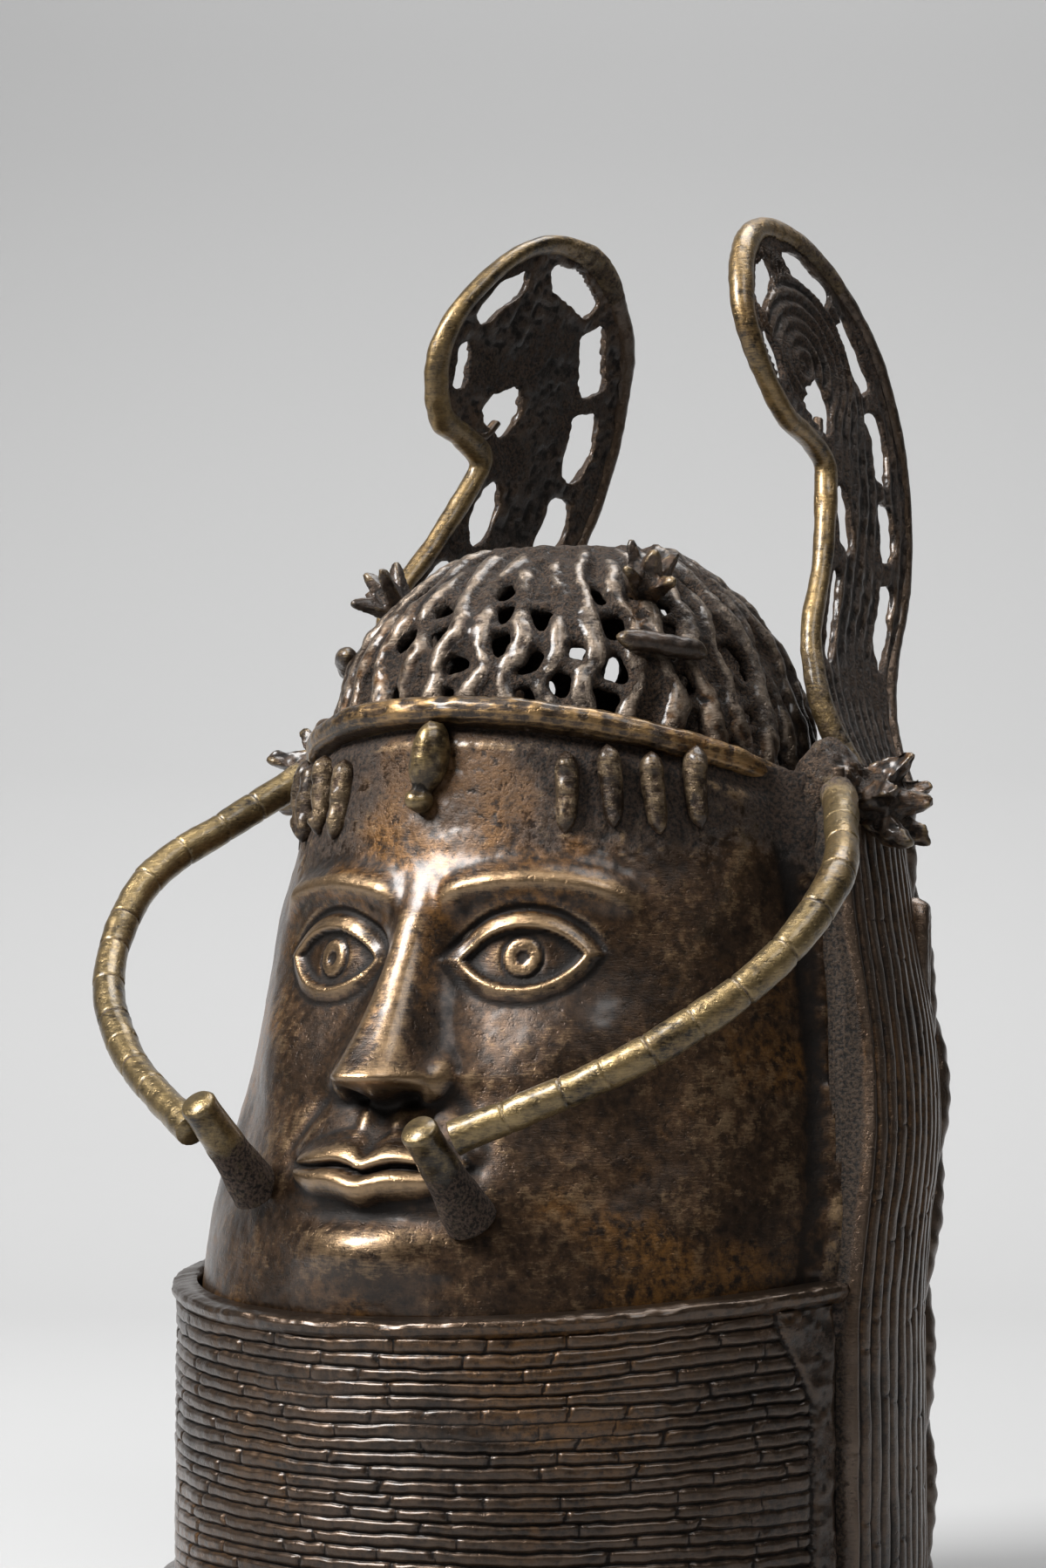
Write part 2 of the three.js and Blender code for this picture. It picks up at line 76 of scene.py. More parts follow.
def lumps(points, size, seed):
    """Smooth random heights from -1 to 1: a random value at each corner of a cubic lattice
    of the size, blended by the eased distance to the eight corners round each point."""
    spot = points / size
    cell = np.floor(spot).astype(np.int64)
    share = spot - cell
    share = share * share * (3 - 2 * share)
    total = np.zeros(points.shape[:-1])
    for corner in np.ndindex(2, 2, 2):
        x, y, z = np.moveaxis(cell + np.array(corner), -1, 0)
        mixed = (x * 374761393 + y * 668265263 + z * 1440662683 + seed * 362437) & 0xFFFFFFFF
        mixed = ((mixed ^ (mixed >> 13)) * 1274126177) & 0xFFFFFFFF
        value = ((mixed ^ (mixed >> 16)) & 0xFFFF) / 32767.5 - 1
        total += value * np.where(corner, share, 1 - share).prod(axis=-1)
    return total


def waves(points, *layers):
    """Lumps of several sizes in one, each layer given as its height, size and seed."""
    return sum(height * lumps(points, size, seed) for height, size, seed in layers)


def turn_out(mesh, points):
    """Puts the mesh's points at places in millimetres and turns its faces to face out."""
    mesh.vertices.foreach_set("co", points.reshape(-1) * 0.001)
    mesh.update()
    mesh.calc_loop_triangles()
    corners = np.empty(len(mesh.loop_triangles) * 3, dtype=np.int32)
    mesh.loop_triangles.foreach_get("vertices", corners)
    a, b, c = points.reshape(-1, 3)[corners.reshape(-1, 3)].transpose(1, 0, 2)
    if np.einsum("ij,ij->i", a, np.cross(b, c)).sum() < 0:
        mesh.flip_normals()
    mesh.shade_smooth()


def new_piece(name, points, faces):
    """A smooth-shaded mesh object from points in millimetres and faces of their numbers."""
    mesh = bpy.data.meshes.new(name)
    mesh.from_pydata(points.reshape(-1, 3).tolist(), [], faces)
    turn_out(mesh, points)
    piece = bpy.data.objects.new(name, mesh)
    bpy.context.scene.collection.objects.link(piece)
    return piece


def swept_faces(count, size, wrap, start=0):
    """Faces of a skin over loops: point j of loop i joins point j + 1 and the same two of
    loop i + 1, and the first and the last loop are each closed by one face unless they meet."""
    across = np.arange(count if wrap else count - 1)
    here = start + across[:, None] * size
    there = start + ((across + 1) % count)[:, None] * size
    j = np.arange(size)[None, :]
    k = (j + 1) % size
    faces = np.stack([here + j, there + j, there + k, here + k], axis=-1).reshape(-1, 4).tolist()
    if not wrap:
        faces.append(list(range(start, start + size)))
        faces.append(list(range(start + count * size - 1, start + (count - 1) * size - 1, -1)))
    return faces


def swept_piece(name, loops, wrap=False):
    """One closed skin over loops of points, an array of loop by point by coordinate."""
    return new_piece(name, loops, swept_faces(len(loops), loops.shape[1], wrap))


def read_mesh(mesh):
    """The places of a mesh's points in millimetres, and their normals."""
    points = np.empty(len(mesh.vertices) * 3)
    normals = np.empty(len(mesh.vertices) * 3)
    mesh.vertices.foreach_get("co", points)
    mesh.vertex_normals.foreach_get("vector", normals)
    return points.reshape(-1, 3) * 1000, normals.reshape(-1, 3)


def mark_relief(mesh, earth):
    """Stores how proud each point stands: its height along its normal over the mesh as
    smoothed by 5 and by 36 rounds of averaging, squeezed to 0..1 with 0.5 for flat, and
    how much earth lies there."""
    points, normals = read_mesh(mesh)
    count = len(points)
    ends = np.empty(len(mesh.edges) * 2, dtype=np.int32)
    mesh.edges.foreach_get("vertices", ends)
    first, second = ends.reshape(-1, 2).T
    both = np.concatenate([first, second])
    other = np.concatenate([second, first])
    degree = np.bincount(both, minlength=count)[:, None]
    smooth = points.copy()
    for step in range(36):
        sums = [np.bincount(both, weights=axis[other], minlength=count) for axis in smooth.T]
        smooth = 0.5 * smooth + 0.5 * np.stack(sums, axis=-1) / degree
        if step == 4:
            fine = np.einsum("ij,ij->i", points - smooth, normals)
    broad = np.einsum("ij,ij->i", points - smooth, normals)
    fine = 0.5 + 0.5 * np.tanh(fine / 0.12)
    broad = 0.5 + 0.5 * np.tanh(broad / 1.1)
    earth = np.broadcast_to(earth, count)
    for name, values in (("fine", fine), ("broad", broad), ("earth", earth)):
        attribute = mesh.attributes.new(name, "FLOAT", "POINT")
        attribute.data.foreach_set("value", values.astype(np.float32))


def finish_group():
    """The cast skin's finish: a dark patina mottled by noise, with warm patches, worn bright where
    the relief is proud, near black as painted shade where it is deep, and matt earth where earth
    lies."""
    group = bpy.data.node_groups.new("aged_bronze", "ShaderNodeTree")
    given_values = {
        "Fine": 0.5,
        "Broad": 0.5,
        "Earth": 0.0,
        "Patina": (0.05, 0.035, 0.025, 1),
        "Worn": (0.3, 0.22, 0.11, 1),
        "Warm": (0.17, 0.075, 0.015, 1),
        "Soil": (0.045, 0.03, 0.022, 1),
        "Wear": 0.5,
        "Warmth": 0.5,
        "Dirt": 0.5,
        "Seed": 0.0,
    }
    for name, value in given_values.items():
        kind = "NodeSocketColor" if isinstance(value, tuple) else "NodeSocketFloat"
        group.interface.new_socket(name, in_out="INPUT", socket_type=kind).default_value = value
    for name in ("Color", "Roughness", "Metallic", "Gloss", "Height"):
        kind = "NodeSocketColor" if name == "Color" else "NodeSocketFloat"
        group.interface.new_socket(name, in_out="OUTPUT", socket_type=kind)
    nodes, links = group.nodes, group.links
    given = nodes.new("NodeGroupInput").outputs
    result = nodes.new("NodeGroupOutput").inputs

    def noise(vector, scale, detail, roughness):
        """Noise of a scale per metre."""
        node = nodes.new("ShaderNodeTexNoise")
        node.inputs["Scale"].default_value = scale
        node.inputs["Detail"].default_value = detail
        node.inputs["Roughness"].default_value = roughness
        links.new(vector, node.inputs["Vector"])
        return node.outputs["Fac"]

    def maths(operation, *values, clamp=False):
        """One sum on numbers or sockets."""
        node = nodes.new("ShaderNodeMath")
        node.operation = operation
        node.use_clamp = clamp
        for socket, value in zip(node.inputs, values):
            if isinstance(value, (int, float)):
                socket.default_value = value
            else:
                links.new(value, socket)
        return node.outputs[0]

    def total(start, *terms, clamp=False):
        """The start plus each socket times its weight."""
        for socket, weight in terms:
            start = maths("MULTIPLY_ADD", socket, weight, start)
        start.node.use_clamp = clamp
        return start

    def between(value, low, high, bottom=0.0, top=1.0):
        """The value carried smoothly from low..high to bottom..top."""
        node = nodes.new("ShaderNodeMapRange")
        node.interpolation_type = "SMOOTHSTEP"
        ends = {"From Min": low, "From Max": high, "To Min": bottom, "To Max": top}
        for name, number in ends.items():
            node.inputs[name].default_value = number
        links.new(value, node.inputs["Value"])
        return node.outputs["Result"]

    def scaled(colour, factor):
        """The colour made lighter or darker by a factor."""
        node = nodes.new("ShaderNodeVectorMath")
        node.operation = "SCALE"
        links.new(colour, node.inputs[0])
        links.new(factor, node.inputs["Scale"])
        return node.outputs[0]

    def mixed(mask, under, over):
        """The colour under, turning to the colour over where the mask is 1."""
        node = nodes.new("ShaderNodeMix")
        node.data_type = "RGBA"
        for number, colour in ((0, mask), (6, under), (7, over)):
            if isinstance(colour, tuple):
                node.inputs[number].default_value = colour
            else:
                links.new(colour, node.inputs[number])
        return node.outputs[2]

    shift = nodes.new("ShaderNodeVectorMath")
    shift.operation = "ADD"
    links.new(nodes.new("ShaderNodeTexCoord").outputs["Object"], shift.inputs[0])
    links.new(given["Seed"], shift.inputs[1])
    stretched = nodes.new("ShaderNodeVectorMath")
    stretched.operation = "MULTIPLY"
    links.new(shift.outputs[0], stretched.inputs[0])
    stretched.inputs[1].default_value = (1.0, 1.6, 7.0)
    scratches = noise(stretched.outputs[0], 240, 4, 0.7)
    areas = noise(shift.outputs[0], 13, 4, 0.6)
    patches = noise(shift.outputs[0], 40, 6, 0.65)
    mottle = noise(shift.outputs[0], 300, 6, 0.7)
    pits = noise(shift.outputs[0], 520, 2, 0.4)
    grain = noise(shift.outputs[0], 900, 3, 0.6)

    # Painted shade: where the broad relief is deep, and in fine grooves, the colour is taken to near
    # black for the shade that falls there. The same mask also makes these places matt.
    deep = total(-0.15, (given["Broad"], 1.0), (mottle, 0.3))
    crevice = between(deep, 0.2, 0.5, 1.0, 0.0)
    fine_crevice = between(given["Fine"], 0.14, 0.44, 0.9, 0.0)
    painted_crevice_shade = maths("MAXIMUM", crevice, fine_crevice)
    proud = total(-1.75, (given["Fine"], 0.45), (given["Broad"], 0.55), (given["Wear"], 1.0))
    proud = total(proud, (patches, 0.6), (mottle, 0.4), (scratches, 0.5))
    worn = maths("MULTIPLY", proud, 3.0, clamp=True)
    warm = maths("MULTIPLY", between(areas, 0.48, 0.62), between(mottle, 0.36, 0.64))
    warm = maths("MULTIPLY", warm, between(scratches, 0.3, 0.55, 0.4, 1.0))
    warm = maths("MULTIPLY", warm, given["Warmth"])
    soil = total(0.0, (crevice, 0.5), (patches, 0.9))
    soil = maths("MULTIPLY", between(soil, 0.74, 1.08), given["Dirt"])
    laid = total(-0.8, (given["Earth"], 1.0), (mottle, 1.6))
    laid = maths("MULTIPLY", between(laid, 0.3, 0.75), between(given["Earth"], 0.02, 0.2))
    soil = maths("MAXIMUM", soil, laid)

    tone = between(mottle, 0.3, 0.7, 0.4, 1.7)
    tone = maths("MULTIPLY", tone, between(patches, 0.35, 0.65, 0.6, 1.5))
    colour = mixed(warm, scaled(given["Patina"], tone), given["Warm"])
    colour = mixed(worn, colour, given["Worn"])
    # Painted shade: near black mixed in by the crevice mask.
    colour = mixed(maths("MULTIPLY", painted_crevice_shade, 0.94), colour, (0.004, 0.003, 0.0025, 1))
    gritty = scaled(given["Soil"], between(grain, 0.36, 0.62, 0.15, 1.6))
    links.new(mixed(soil, colour, gritty), result["Color"])

    matt = maths("MAXIMUM", soil, maths("MULTIPLY", painted_crevice_shade, 0.6))
    rough = total(0.13, (mottle, 0.24), (scratches, 0.2), (matt, 0.45))
    metal = total(0.5, (worn, 0.5), (soil, -1.0), clamp=True)
    gloss = total(0.45, (matt, -0.8), clamp=True)
    height = total(0.0, (grain, 0.3), (between(pits, 0.26, 0.4), 0.7), (mottle, 0.9))
    height = total(height, (scratches, 0.9), (maths("MULTIPLY", soil, grain), 5.0))
    links.new(rough, result["Roughness"])
    links.new(metal, result["Metallic"])
    links.new(gloss, result["Gloss"])
    links.new(height, result["Height"])
    return group


aged_bronze = finish_group()


def bronze(name, patina, worn, wear, warmth, dirt, seed, bump, soil=(0.045, 0.03, 0.022)):
    """One finish of the casting: the group's outputs on a shader, with its own colours, shares
    of wear, warmth and dirt, and strength of the fine relief."""
    material = bpy.data.materials.new(name)
    material.use_nodes = True
    nodes, links = material.node_tree.nodes, material.node_tree.links
    shader = nodes["Principled BSDF"]
    group = nodes.new("ShaderNodeGroup")
    group.node_tree = aged_bronze
    for socket, attribute in (("Fine", "fine"), ("Broad", "broad"), ("Earth", "earth")):
        reader = nodes.new("ShaderNodeAttribute")
        reader.attribute_name = attribute
        links.new(reader.outputs["Fac"], group.inputs[socket])
    values = {"Patina": (*patina, 1), "Worn": (*worn, 1), "Soil": (*soil, 1)}
    values |= {"Wear": wear, "Warmth": warmth, "Dirt": dirt, "Seed": seed}
    for socket, value in values.items():
        group.inputs[socket].default_value = value
    ridge = nodes.new("ShaderNodeBump")
    ridge.inputs["Strength"].default_value = bump
    ridge.inputs["Distance"].default_value = 0.0005
    links.new(group.outputs["Height"], ridge.inputs["Height"])
    links.new(ridge.outputs["Normal"], shader.inputs["Normal"])
    for output, socket in (("Color", "Base Color"), ("Roughness", "Roughness"),
                           ("Metallic", "Metallic"), ("Gloss", "Coat Weight")):
        links.new(group.outputs[output], shader.inputs[socket])
    shader.inputs["Specular IOR Level"].default_value = 0.3
    shader.inputs["Coat Roughness"].default_value = 0.2
    return material


def cast_in(piece, material, earth=0.0):
    """The piece gets its finish, rides on the body and stands for the casting."""
    mark_relief(piece.data, earth)
    piece.data.materials.append(material)
    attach(piece, "root")
    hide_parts(casting)


dark_patina = (0.031, 0.018, 0.01)
collar_finish = bronze("collar_bronze", dark_patina, (0.075, 0.051, 0.035),
                       wear=0.4, warmth=0.5, dirt=0.3, seed=1.0, bump=0.35)

flange_corners = np.array([
    (hollow_radius, 0.0),
    (flange_radius - 1.5, 0.0),
    (flange_radius, 1.5),
    (flange_radius, flange_edge - 2),
    (flange_radius - 2, flange_edge),
    (flange_radius - 8, flange_edge + 3.5),
    (collar_radius + 14, flange_top - 10),
    (collar_radius + 5, flange_top - 2),
    (collar_radius - 2, flange_top),
    (hollow_radius, flange_top),
])


def filled_outline(corners, step):
    """The closed outline through the corners, with points no further apart than the step."""
    ends = np.roll(corners, -1, axis=0)
    counts = np.maximum(np.ceil(np.hypot(*(ends - corners).T) / step).astype(int), 1)
    parts = [a + (b - a) * np.linspace(0, 1, n, endpoint=False)[:, None]
             for a, b, n in zip(corners, ends, counts)]
    return np.concatenate(parts)


profile = filled_outline(flange_corners, 2.5)
loops = around(full_turn(240), profile[:, 0], profile[:, 1])
outward = loops * [1, 1, 0] / np.hypot(loops[..., 0], loops[..., 1])[..., None]
hammered = waves(loops, (0.4, 20, 3), (0.25, 6, 4)) - 0.65
loops = loops + outward * (hammered * ease(loops[..., 2], 0.5, 3))[..., None]
cast_in(swept_piece("foot_flange", loops, wrap=True), collar_finish)

# Collar
# Twenty strings of tubular beads stacked round the neck, with a plain raised edge above.
# The beads were rolled in wax, so the strings wander and each bead's end is a short cut.
ring_count = 20
ring_pitch = 4.6
ring_groove = 1.5
bead_lengths = (16, 55)
collar_wall = 7.0
lip_height = 6.0
lip_dip = 9.0
collar_top = flange_top + ring_count * ring_pitch
lip_top = collar_top + lip_height
strand_start = 84.0


def swell(offset, spread):
    """A bell of height 1: e to the minus square of the offset over the spread."""
    return np.exp(-(offset / spread) ** 2)


def forward(angle):
    """How much an angle looks forward: its cosine, and 0 at the sides and behind."""
    return np.maximum(np.cos(np.radians(angle)), 0)


def collar_sag(angle, height):
    """How far the rings and the edge sag: the dip, by the eased share of the height and
    by how much the angle looks forward to the power 1.5."""
    return lip_dip * ease(height, flange_top, lip_top) * forward(angle) ** 1.5


def bead_cuts(along, count, steps, spacing, width, seed):
    """Depth from 0 to 1 of the cuts between beads on a number of strings, each of the same
    number of steps across: bells of the width at random spacings, which lean a little."""
    random = np.random.default_rng(seed)
    lean = np.linspace(-1, 1, steps)
    number = int((along.max() - along.min()) / spacing[0]) + 3
    strings = []
    for string in range(count):
        start = along.min() - spacing[1] * random.random()
        ends = start + np.cumsum(random.uniform(*spacing, number))
        tilt = random.uniform(-0.8, 0.8, number)
        strength = random.uniform(0.5, 1.0, number)
        centre = ends + tilt * lean[:, None]
        strings.append((strength * swell(along[:, None, None] - centre, width)).max(axis=-1))
    return np.concatenate(strings, axis=1)


def band_patch(points):
    """Where earth clings in patches: 1 in the higher parts of broad lumps near the seam."""
    return ease(np.abs(points[..., 0]), 100, 116) * ease(lumps(points, 9, 24), 0.1, 0.7)


steps = 8
column_count = 390
angles = np.linspace(-strand_start - 0.8, strand_start + 0.8, column_count)[:, None]
turned = np.abs(angles)
rows = np.arange(ring_count * steps)
ring_level = flange_top + rows * ring_pitch / steps
flatness = 1 - np.abs(2 * (rows % steps) / steps - 1) ** 5
run = np.radians(angles[:, 0]) * collar_radius
cuts = bead_cuts(run, ring_count, steps, bead_lengths, 0.75, 5)
spots = around(angles, collar_radius, ring_level)
closed = 0.75 * ease(lumps(spots * [0.2, 0.2, 0.6], 9, 15), 0.25, 0.6)
groove = ring_groove * 1.25 * (1 - flatness * (1 - 0.8 * cuts)) * (1 - closed)
bead_radius = collar_radius - groove + waves(spots, (0.4, 12, 13), (0.14, 2.6, 14)) - 0.4
band_start = 77 - 7 * ease(ring_level, collar_top - 32, collar_top)
band = ease(turned, band_start, band_start + 0.7)
band_radius = collar_radius - 0.3 + waves(spots, (0.6, 6, 16), (0.3, 2.4, 17))
bead_radius = bead_radius + (band_radius - bead_radius) * band
bead_radius = bead_radius - 0.9 * swell(turned - band_start, 0.6)
bead_radius = bead_radius - 2.5 * swell(turned - strand_start + 0.8, 0.8)
wander = 0.9 * lumps(spots * [0.25, 0.25, 1], 8, 11) + 0.35 * lumps(spots, 4, 12)
bead_level = ring_level + wander * ease(ring_level, flange_top, flange_top + 6)

lip_line = np.array([
    (collar_radius - ring_groove, collar_top),
    (collar_radius - 0.7, collar_top + 0.7),
    (collar_radius + 0.3, collar_top + 1.8),
    (collar_radius + 0.8, collar_top + 3.6),
    (collar_radius + 0.3, lip_top - 0.9),
    (collar_radius - 2.2, lip_top),
])
lip_share = np.linspace(0, 5, 16)
lip_radius, lip_level = (np.interp(lip_share, np.arange(6), line) for line in lip_line.T)
lip_spots = around(angles, lip_radius, lip_level)
lip_wave = waves(lip_spots, (0.7, 13, 21), (0.45, 4.5, 22), (0.2, 2, 23))
inner_line = np.array([
    (collar_radius - collar_wall, lip_top),
    (hollow_radius + 1.5, lip_top - 4),
    (hollow_radius + 1.5, flange_top),
    (collar_radius - 4, flange_top),
])
inner_radius, inner_level = (np.broadcast_to(line, (column_count, 4)) for line in inner_line.T)
radius = np.hstack([bead_radius, lip_radius + lip_wave, inner_radius])
level = np.hstack([bead_level, lip_level + 0.6 * lip_wave - 0.6, inner_level])
loops = around(angles, radius, level - collar_sag(angles, level))
seam_earth = 0.55 * swell(turned - strand_start, 1.4) + 0.5 * band_patch(loops)
cast_in(swept_piece("bead_collar", loops), collar_finish, seam_earth.ravel())

# Face
# The head's front, cast as a shell about 8 mm thick that runs down inside the collar and up
# under the cap. The face is calm and even: thirds for chin, nose and brow, eyes a width apart.
face_turn = 4.0
face_edge = 88.0
face_low = 106.0
face_radius = 100.0
head_set_back = 18.0
jaw_radius = 112.0
temple_radius = 93.0
brow_radius = 85.0
head_wall = 8.0
rim_low = 278.0
rim_high = 302.0
strand_top = 284.0
strand_radius_top = 109.0
strand_radius_low = 124.0
strand_depth = 9.0


def axis_depth(height):
    """How far back the head's own axis stands, which eases in above the collar."""
    return head_set_back * ease(height, 105, 205)


def strand_radius(height):
    """Radius of the hanging strands, which narrows from low to top between 150 mm and the top."""
    narrowing = strand_radius_low - strand_radius_top
    return strand_radius_low - narrowing * ease(height, 150, strand_top)


def rim_level(angle):
    """Height of the cap's edge: low at the temples and high over the brow."""
    return rim_low + (rim_high - rim_low) * forward(angle)


def head_radius(angle, height):
    """Radius of the bare head: jaw, skull and brow blended up the height. It swells up to
    the side strands where the cheek meets them, and lies deeper under the strands behind."""
    jaw = jaw_radius + (temple_radius + 9 - jaw_radius) * ease(height, 140, 225)
    skull = jaw + (temple_radius - jaw) * ease(height, 205, rim_low)
    front = skull + (brow_radius - skull) * forward(angle) * ease(height, 235, 290)
    sunk = strand_depth * (0.55 + 0.45 * ease(np.abs(angle), 95, 118))
    return front + (strand_radius(height) - sunk - front) * ease(np.abs(angle), 77, 87)


def almond(across, up, half_width, half_height):
    """Distance outside an almond of two arcs that meet at its corners, below 0 inside it."""
    arc = (half_width ** 2 + half_height ** 2) / (2 * half_height)
    centre = arc - half_height
    return np.maximum(np.hypot(across, up + centre), np.hypot(across, up - centre)) - arc


def softly_over(a, b):
    """The higher of two heights, blended over about 1 mm where they cross."""
    return 0.5 * (a + b + np.sqrt((a - b) ** 2 + 2.0))


chin_level = collar_top
third = (rim_high - chin_level) / 3
brow_level = chin_level + 2 * third
nose_level = chin_level + third
mouth_level = nose_level - third / 3
eye_level = brow_level - 17
eye_side = 36.0


def face_forms(across, up):
    """Broad forms of the face in millimetres over the head: sums of bells for the forehead,
    sockets, cheeks, mouth and chin, and a ridge that follows the brows' arcs."""
    side = np.abs(across)
    arc = brow_level + 2 + 5 * (1 - ((side - 38) / 30) ** 2)
    relief = 4.2 * swell(up - arc, 5) * ease(side, 4, 16) * (1 - ease(side, 60, 78))
    relief += 2.5 * swell(across, 50) * swell(up - brow_level - 30, 24)
    relief -= 7.5 * swell(side - eye_side, 23) * swell(up - eye_level, 15)
    relief -= 3.0 * swell(side - 17, 7) * swell(up - eye_level - 3, 12)
    relief += 5.0 * swell(side - 54, 24) * swell(up - nose_level - 15, 20)
    relief += 6.5 * swell(across, 36) * swell(up - mouth_level - 2, 24)
    relief += 7.0 * swell(across, 20) * swell(up - chin_level - 15, 12)
    relief -= 3.2 * swell(across, 24) * swell(up - mouth_level + 14, 4.5)
    relief -= 2.5 * swell(side - 72, 18) * swell(up - mouth_level - 8, 26)
    fold = side - 19 - 0.62 * (nose_level + 6 - up)
    return relief - 1.4 * swell(fold, 3.2) * swell(up - mouth_level - 12, 12)


def nose_form(across, up):
    """The nose: a ridge that rises and widens from the brow to the tip, two wings as half
    ellipsoids beside the tip, and a pit under each wing."""
    side = np.abs(across)
    down = np.clip((brow_level - up) / (brow_level - nose_level - 8), 0, 1)
    width = 6.5 + 6.5 * down ** 1.4
    ridge = (3.0 + 23 * down ** 1.15) / (1 + (side / width) ** 3.4)
    ridge = ridge * ease(up, nose_level - 3, nose_level + 8)
    ridge = ridge * (1 - ease(up, brow_level - 6, brow_level + 14))
    inside = 1 - ((side - 11.5) / 9.5) ** 2 - ((up - nose_level - 8.5) / 9.5) ** 2
    wings = 11 * np.maximum(inside, 0) ** 0.7
    whole = softly_over(ridge, wings) - 0.7
    return whole - 8 * swell(side - 8, 3.6) * swell(up - nose_level - 1.5, 2.6)


def eye_form(across, up):
    """An eye: a ball behind almond lids with a raised edge, a crease over the upper lid,
    and a smooth disc with a small pit for the iris and the pupil."""
    dx = np.abs(across) - eye_side
    dz = up - eye_level - 0.04 * dx
    lid = almond(dx, dz, 19, 8.8)
    relief = 5.0 * swell(dx, 17) * swell(dz, 11)
    relief += 1.9 * ease(lid, -0.4, 0.5) * (1 - ease(lid, 2.2, 6.5))
    relief += 0.8 * swell(lid - 1.2, 0.9)
    relief -= 1.5 * swell(lid - 6.2, 1.2) * ease(dz, 0, 5)
    middle = np.hypot(dx, dz)
    relief += (lid < 0) * (0.9 * (1 - ease(middle, 5.4, 6.2)) - 0.9 * (1 - ease(middle, 1.6, 2.6)))
    return relief - 0.6 * swell(middle - 6.6, 0.6) * (lid < -0.3)


def mouth_form(across, up):
    """Closed lips: each rises from the line between them as a sine over its own height,
    narrowing to the corners, with the groove above the upper lip."""
    side = np.abs(across)
    taper = np.sqrt(np.clip(1 - (side / 28) ** 2, 0, 1))
    line = mouth_level - 1.3 * swell(across, 5) + 0.9 * swell(side - 9, 7)
    upper = (10 - 2.2 * swell(across, 3.2)) * taper + 0.01
    lower = 11.5 * taper + 0.01
    above = np.clip((up - line) / upper, 0, 1)
    below = np.clip((line - up) / lower, 0, 1)
    relief = 5.2 * taper * np.sin(np.pi * above ** 0.62)
    relief += 6.8 * taper * np.sin(np.pi * below ** 0.6)
    relief += 0.9 * swell(up - line - upper, 1.0) * taper
    relief -= 1.6 * swell(up - line, 0.9) * (1 - ease(side, 27, 31))
    relief -= 1.6 * swell(side - 30, 3.5) * swell(up - mouth_level, 4)
    groove = 0.9 * swell(side - 5.5, 2.0) - 1.4 * swell(across, 2.8)
    return relief + groove * swell(up - mouth_level - 15, 5)


# The face's soil is a dark earth colour. In the band just under the cap's edge it also serves as
# painted shade under the ledge.
face_finish = bronze("face_bronze", (0.032, 0.017, 0.008), (0.27, 0.18, 0.1),
                     wear=0.42, warmth=0.95, dirt=0.1, seed=2.0, bump=0.35,
                     soil=(0.023, 0.014, 0.009))

columns = np.linspace(-1, 1, 300)[:, None]
angles = face_edge * (0.72 * columns + 0.28 * columns ** 3)
turned = np.abs(angles)
edge = rim_level(angles)
level = face_low + (edge + 1 - face_low) * np.linspace(0, 1, 230)
across = np.radians(angles - face_turn) * face_radius
carved = sum(form(across, level) for form in (face_forms, nose_form, eye_form, mouth_form))
carved = carved * (1 - ease(turned, 62, 78)) * ease(level, 108, 122)
spots = around(angles, face_radius, level)
crust = ease(turned, 77, 82) * waves(spots, (0.5, 7, 34), (0.5, 3.4, 35))
ragged = 6 * lumps(spots, 7, 40)
off_middle = np.abs(angles - face_turn) + ragged
by_marks = ease(off_middle, 15, 30) * (1 - ease(off_middle, 54, 70)) * ease(level + ragged, 248, 268)
crust = crust + by_marks * waves(spots, (0.5, 4.5, 38), (0.35, 2.2, 39))
recess = 3.2 * ease(level, edge - 12, edge - 5) * (1 - ease(turned, 70, 82))
skin_waves = waves(spots, (0.35, 14, 31), (0.14, 4.5, 32), (0.05, 1.8, 33))
radius = head_radius(angles, level) + carved + skin_waves + crust - recess - 0.3
back_level = level[:, ::-20]
radius = np.hstack([radius, head_radius(angles, back_level) - head_wall + 1.5])
level = np.hstack([level, back_level])
face_earth_and_shade = 0.6 * ease(turned, 66, 80) * ease(level, 240, 272)
face_earth_and_shade = face_earth_and_shade + (0.35 + 0.3 * swell(level - lip_top, 14)) * ease(turned, 79, 83)
face_earth_and_shade[:, :by_marks.shape[1]] += 0.4 * by_marks
# Earth and painted shade: the bell just under the cap's edge lays dark soil as painted shade under
# the ledge, and the upper face gets earth.
face_earth_and_shade = face_earth_and_shade + 0.3 * swell(edge - 4 - level, 4) + 0.42 * ease(level, 244, 276)
loops = around(angles, radius, level, axis_depth(level))
cast_in(swept_piece("face_shell", loops), face_finish, np.clip(face_earth_and_shade, 0, 1).ravel())

# Marks on the brow
# Four short raised bars over each eye, close under the cap's edge.
# Each was laid on in wax as a roll, pressed flatter at its ends, with earth between.
mark_first = 28.0
mark_step = 9.0
mark_bottom = 262.0
mark_length = 26.0
mark_radius = 4.6


def tube_loops(path, outward, across, out, sides):
    """Loops of an ellipse round each point of a path, with half sizes across the path and
    outward, where outward is a direction at each point."""
    along = np.gradient(path, axis=0)
    aside = np.cross(along, outward)
    aside /= np.linalg.norm(aside, axis=-1, keepdims=True)
    upward = np.cross(aside, along)
    upward /= np.linalg.norm(upward, axis=-1, keepdims=True)
    turn = np.linspace(0, 2 * np.pi, sides, endpoint=False)[:, None]
    across = np.broadcast_to(across, len(path))[:, None, None]
    out = np.broadcast_to(out, len(path))[:, None, None]
    spokes = across * np.cos(turn) * aside[:, None] + out * np.sin(turn) * upward[:, None]
    return path[:, None] + spokes


def gathered(name, parts):
    """One mesh of several closed skins, each given as its loops."""
    faces = []
    start = 0
    for loops in parts:
        faces += swept_faces(len(loops), loops.shape[1], False, start)
        start += loops.shape[0] * loops.shape[1]
    return new_piece(name, np.concatenate([loops.reshape(-1, 3) for loops in parts]), faces)


def radial(angle):
    """The direction outward at an angle."""
    return around(angle, 1.0, 0.0)


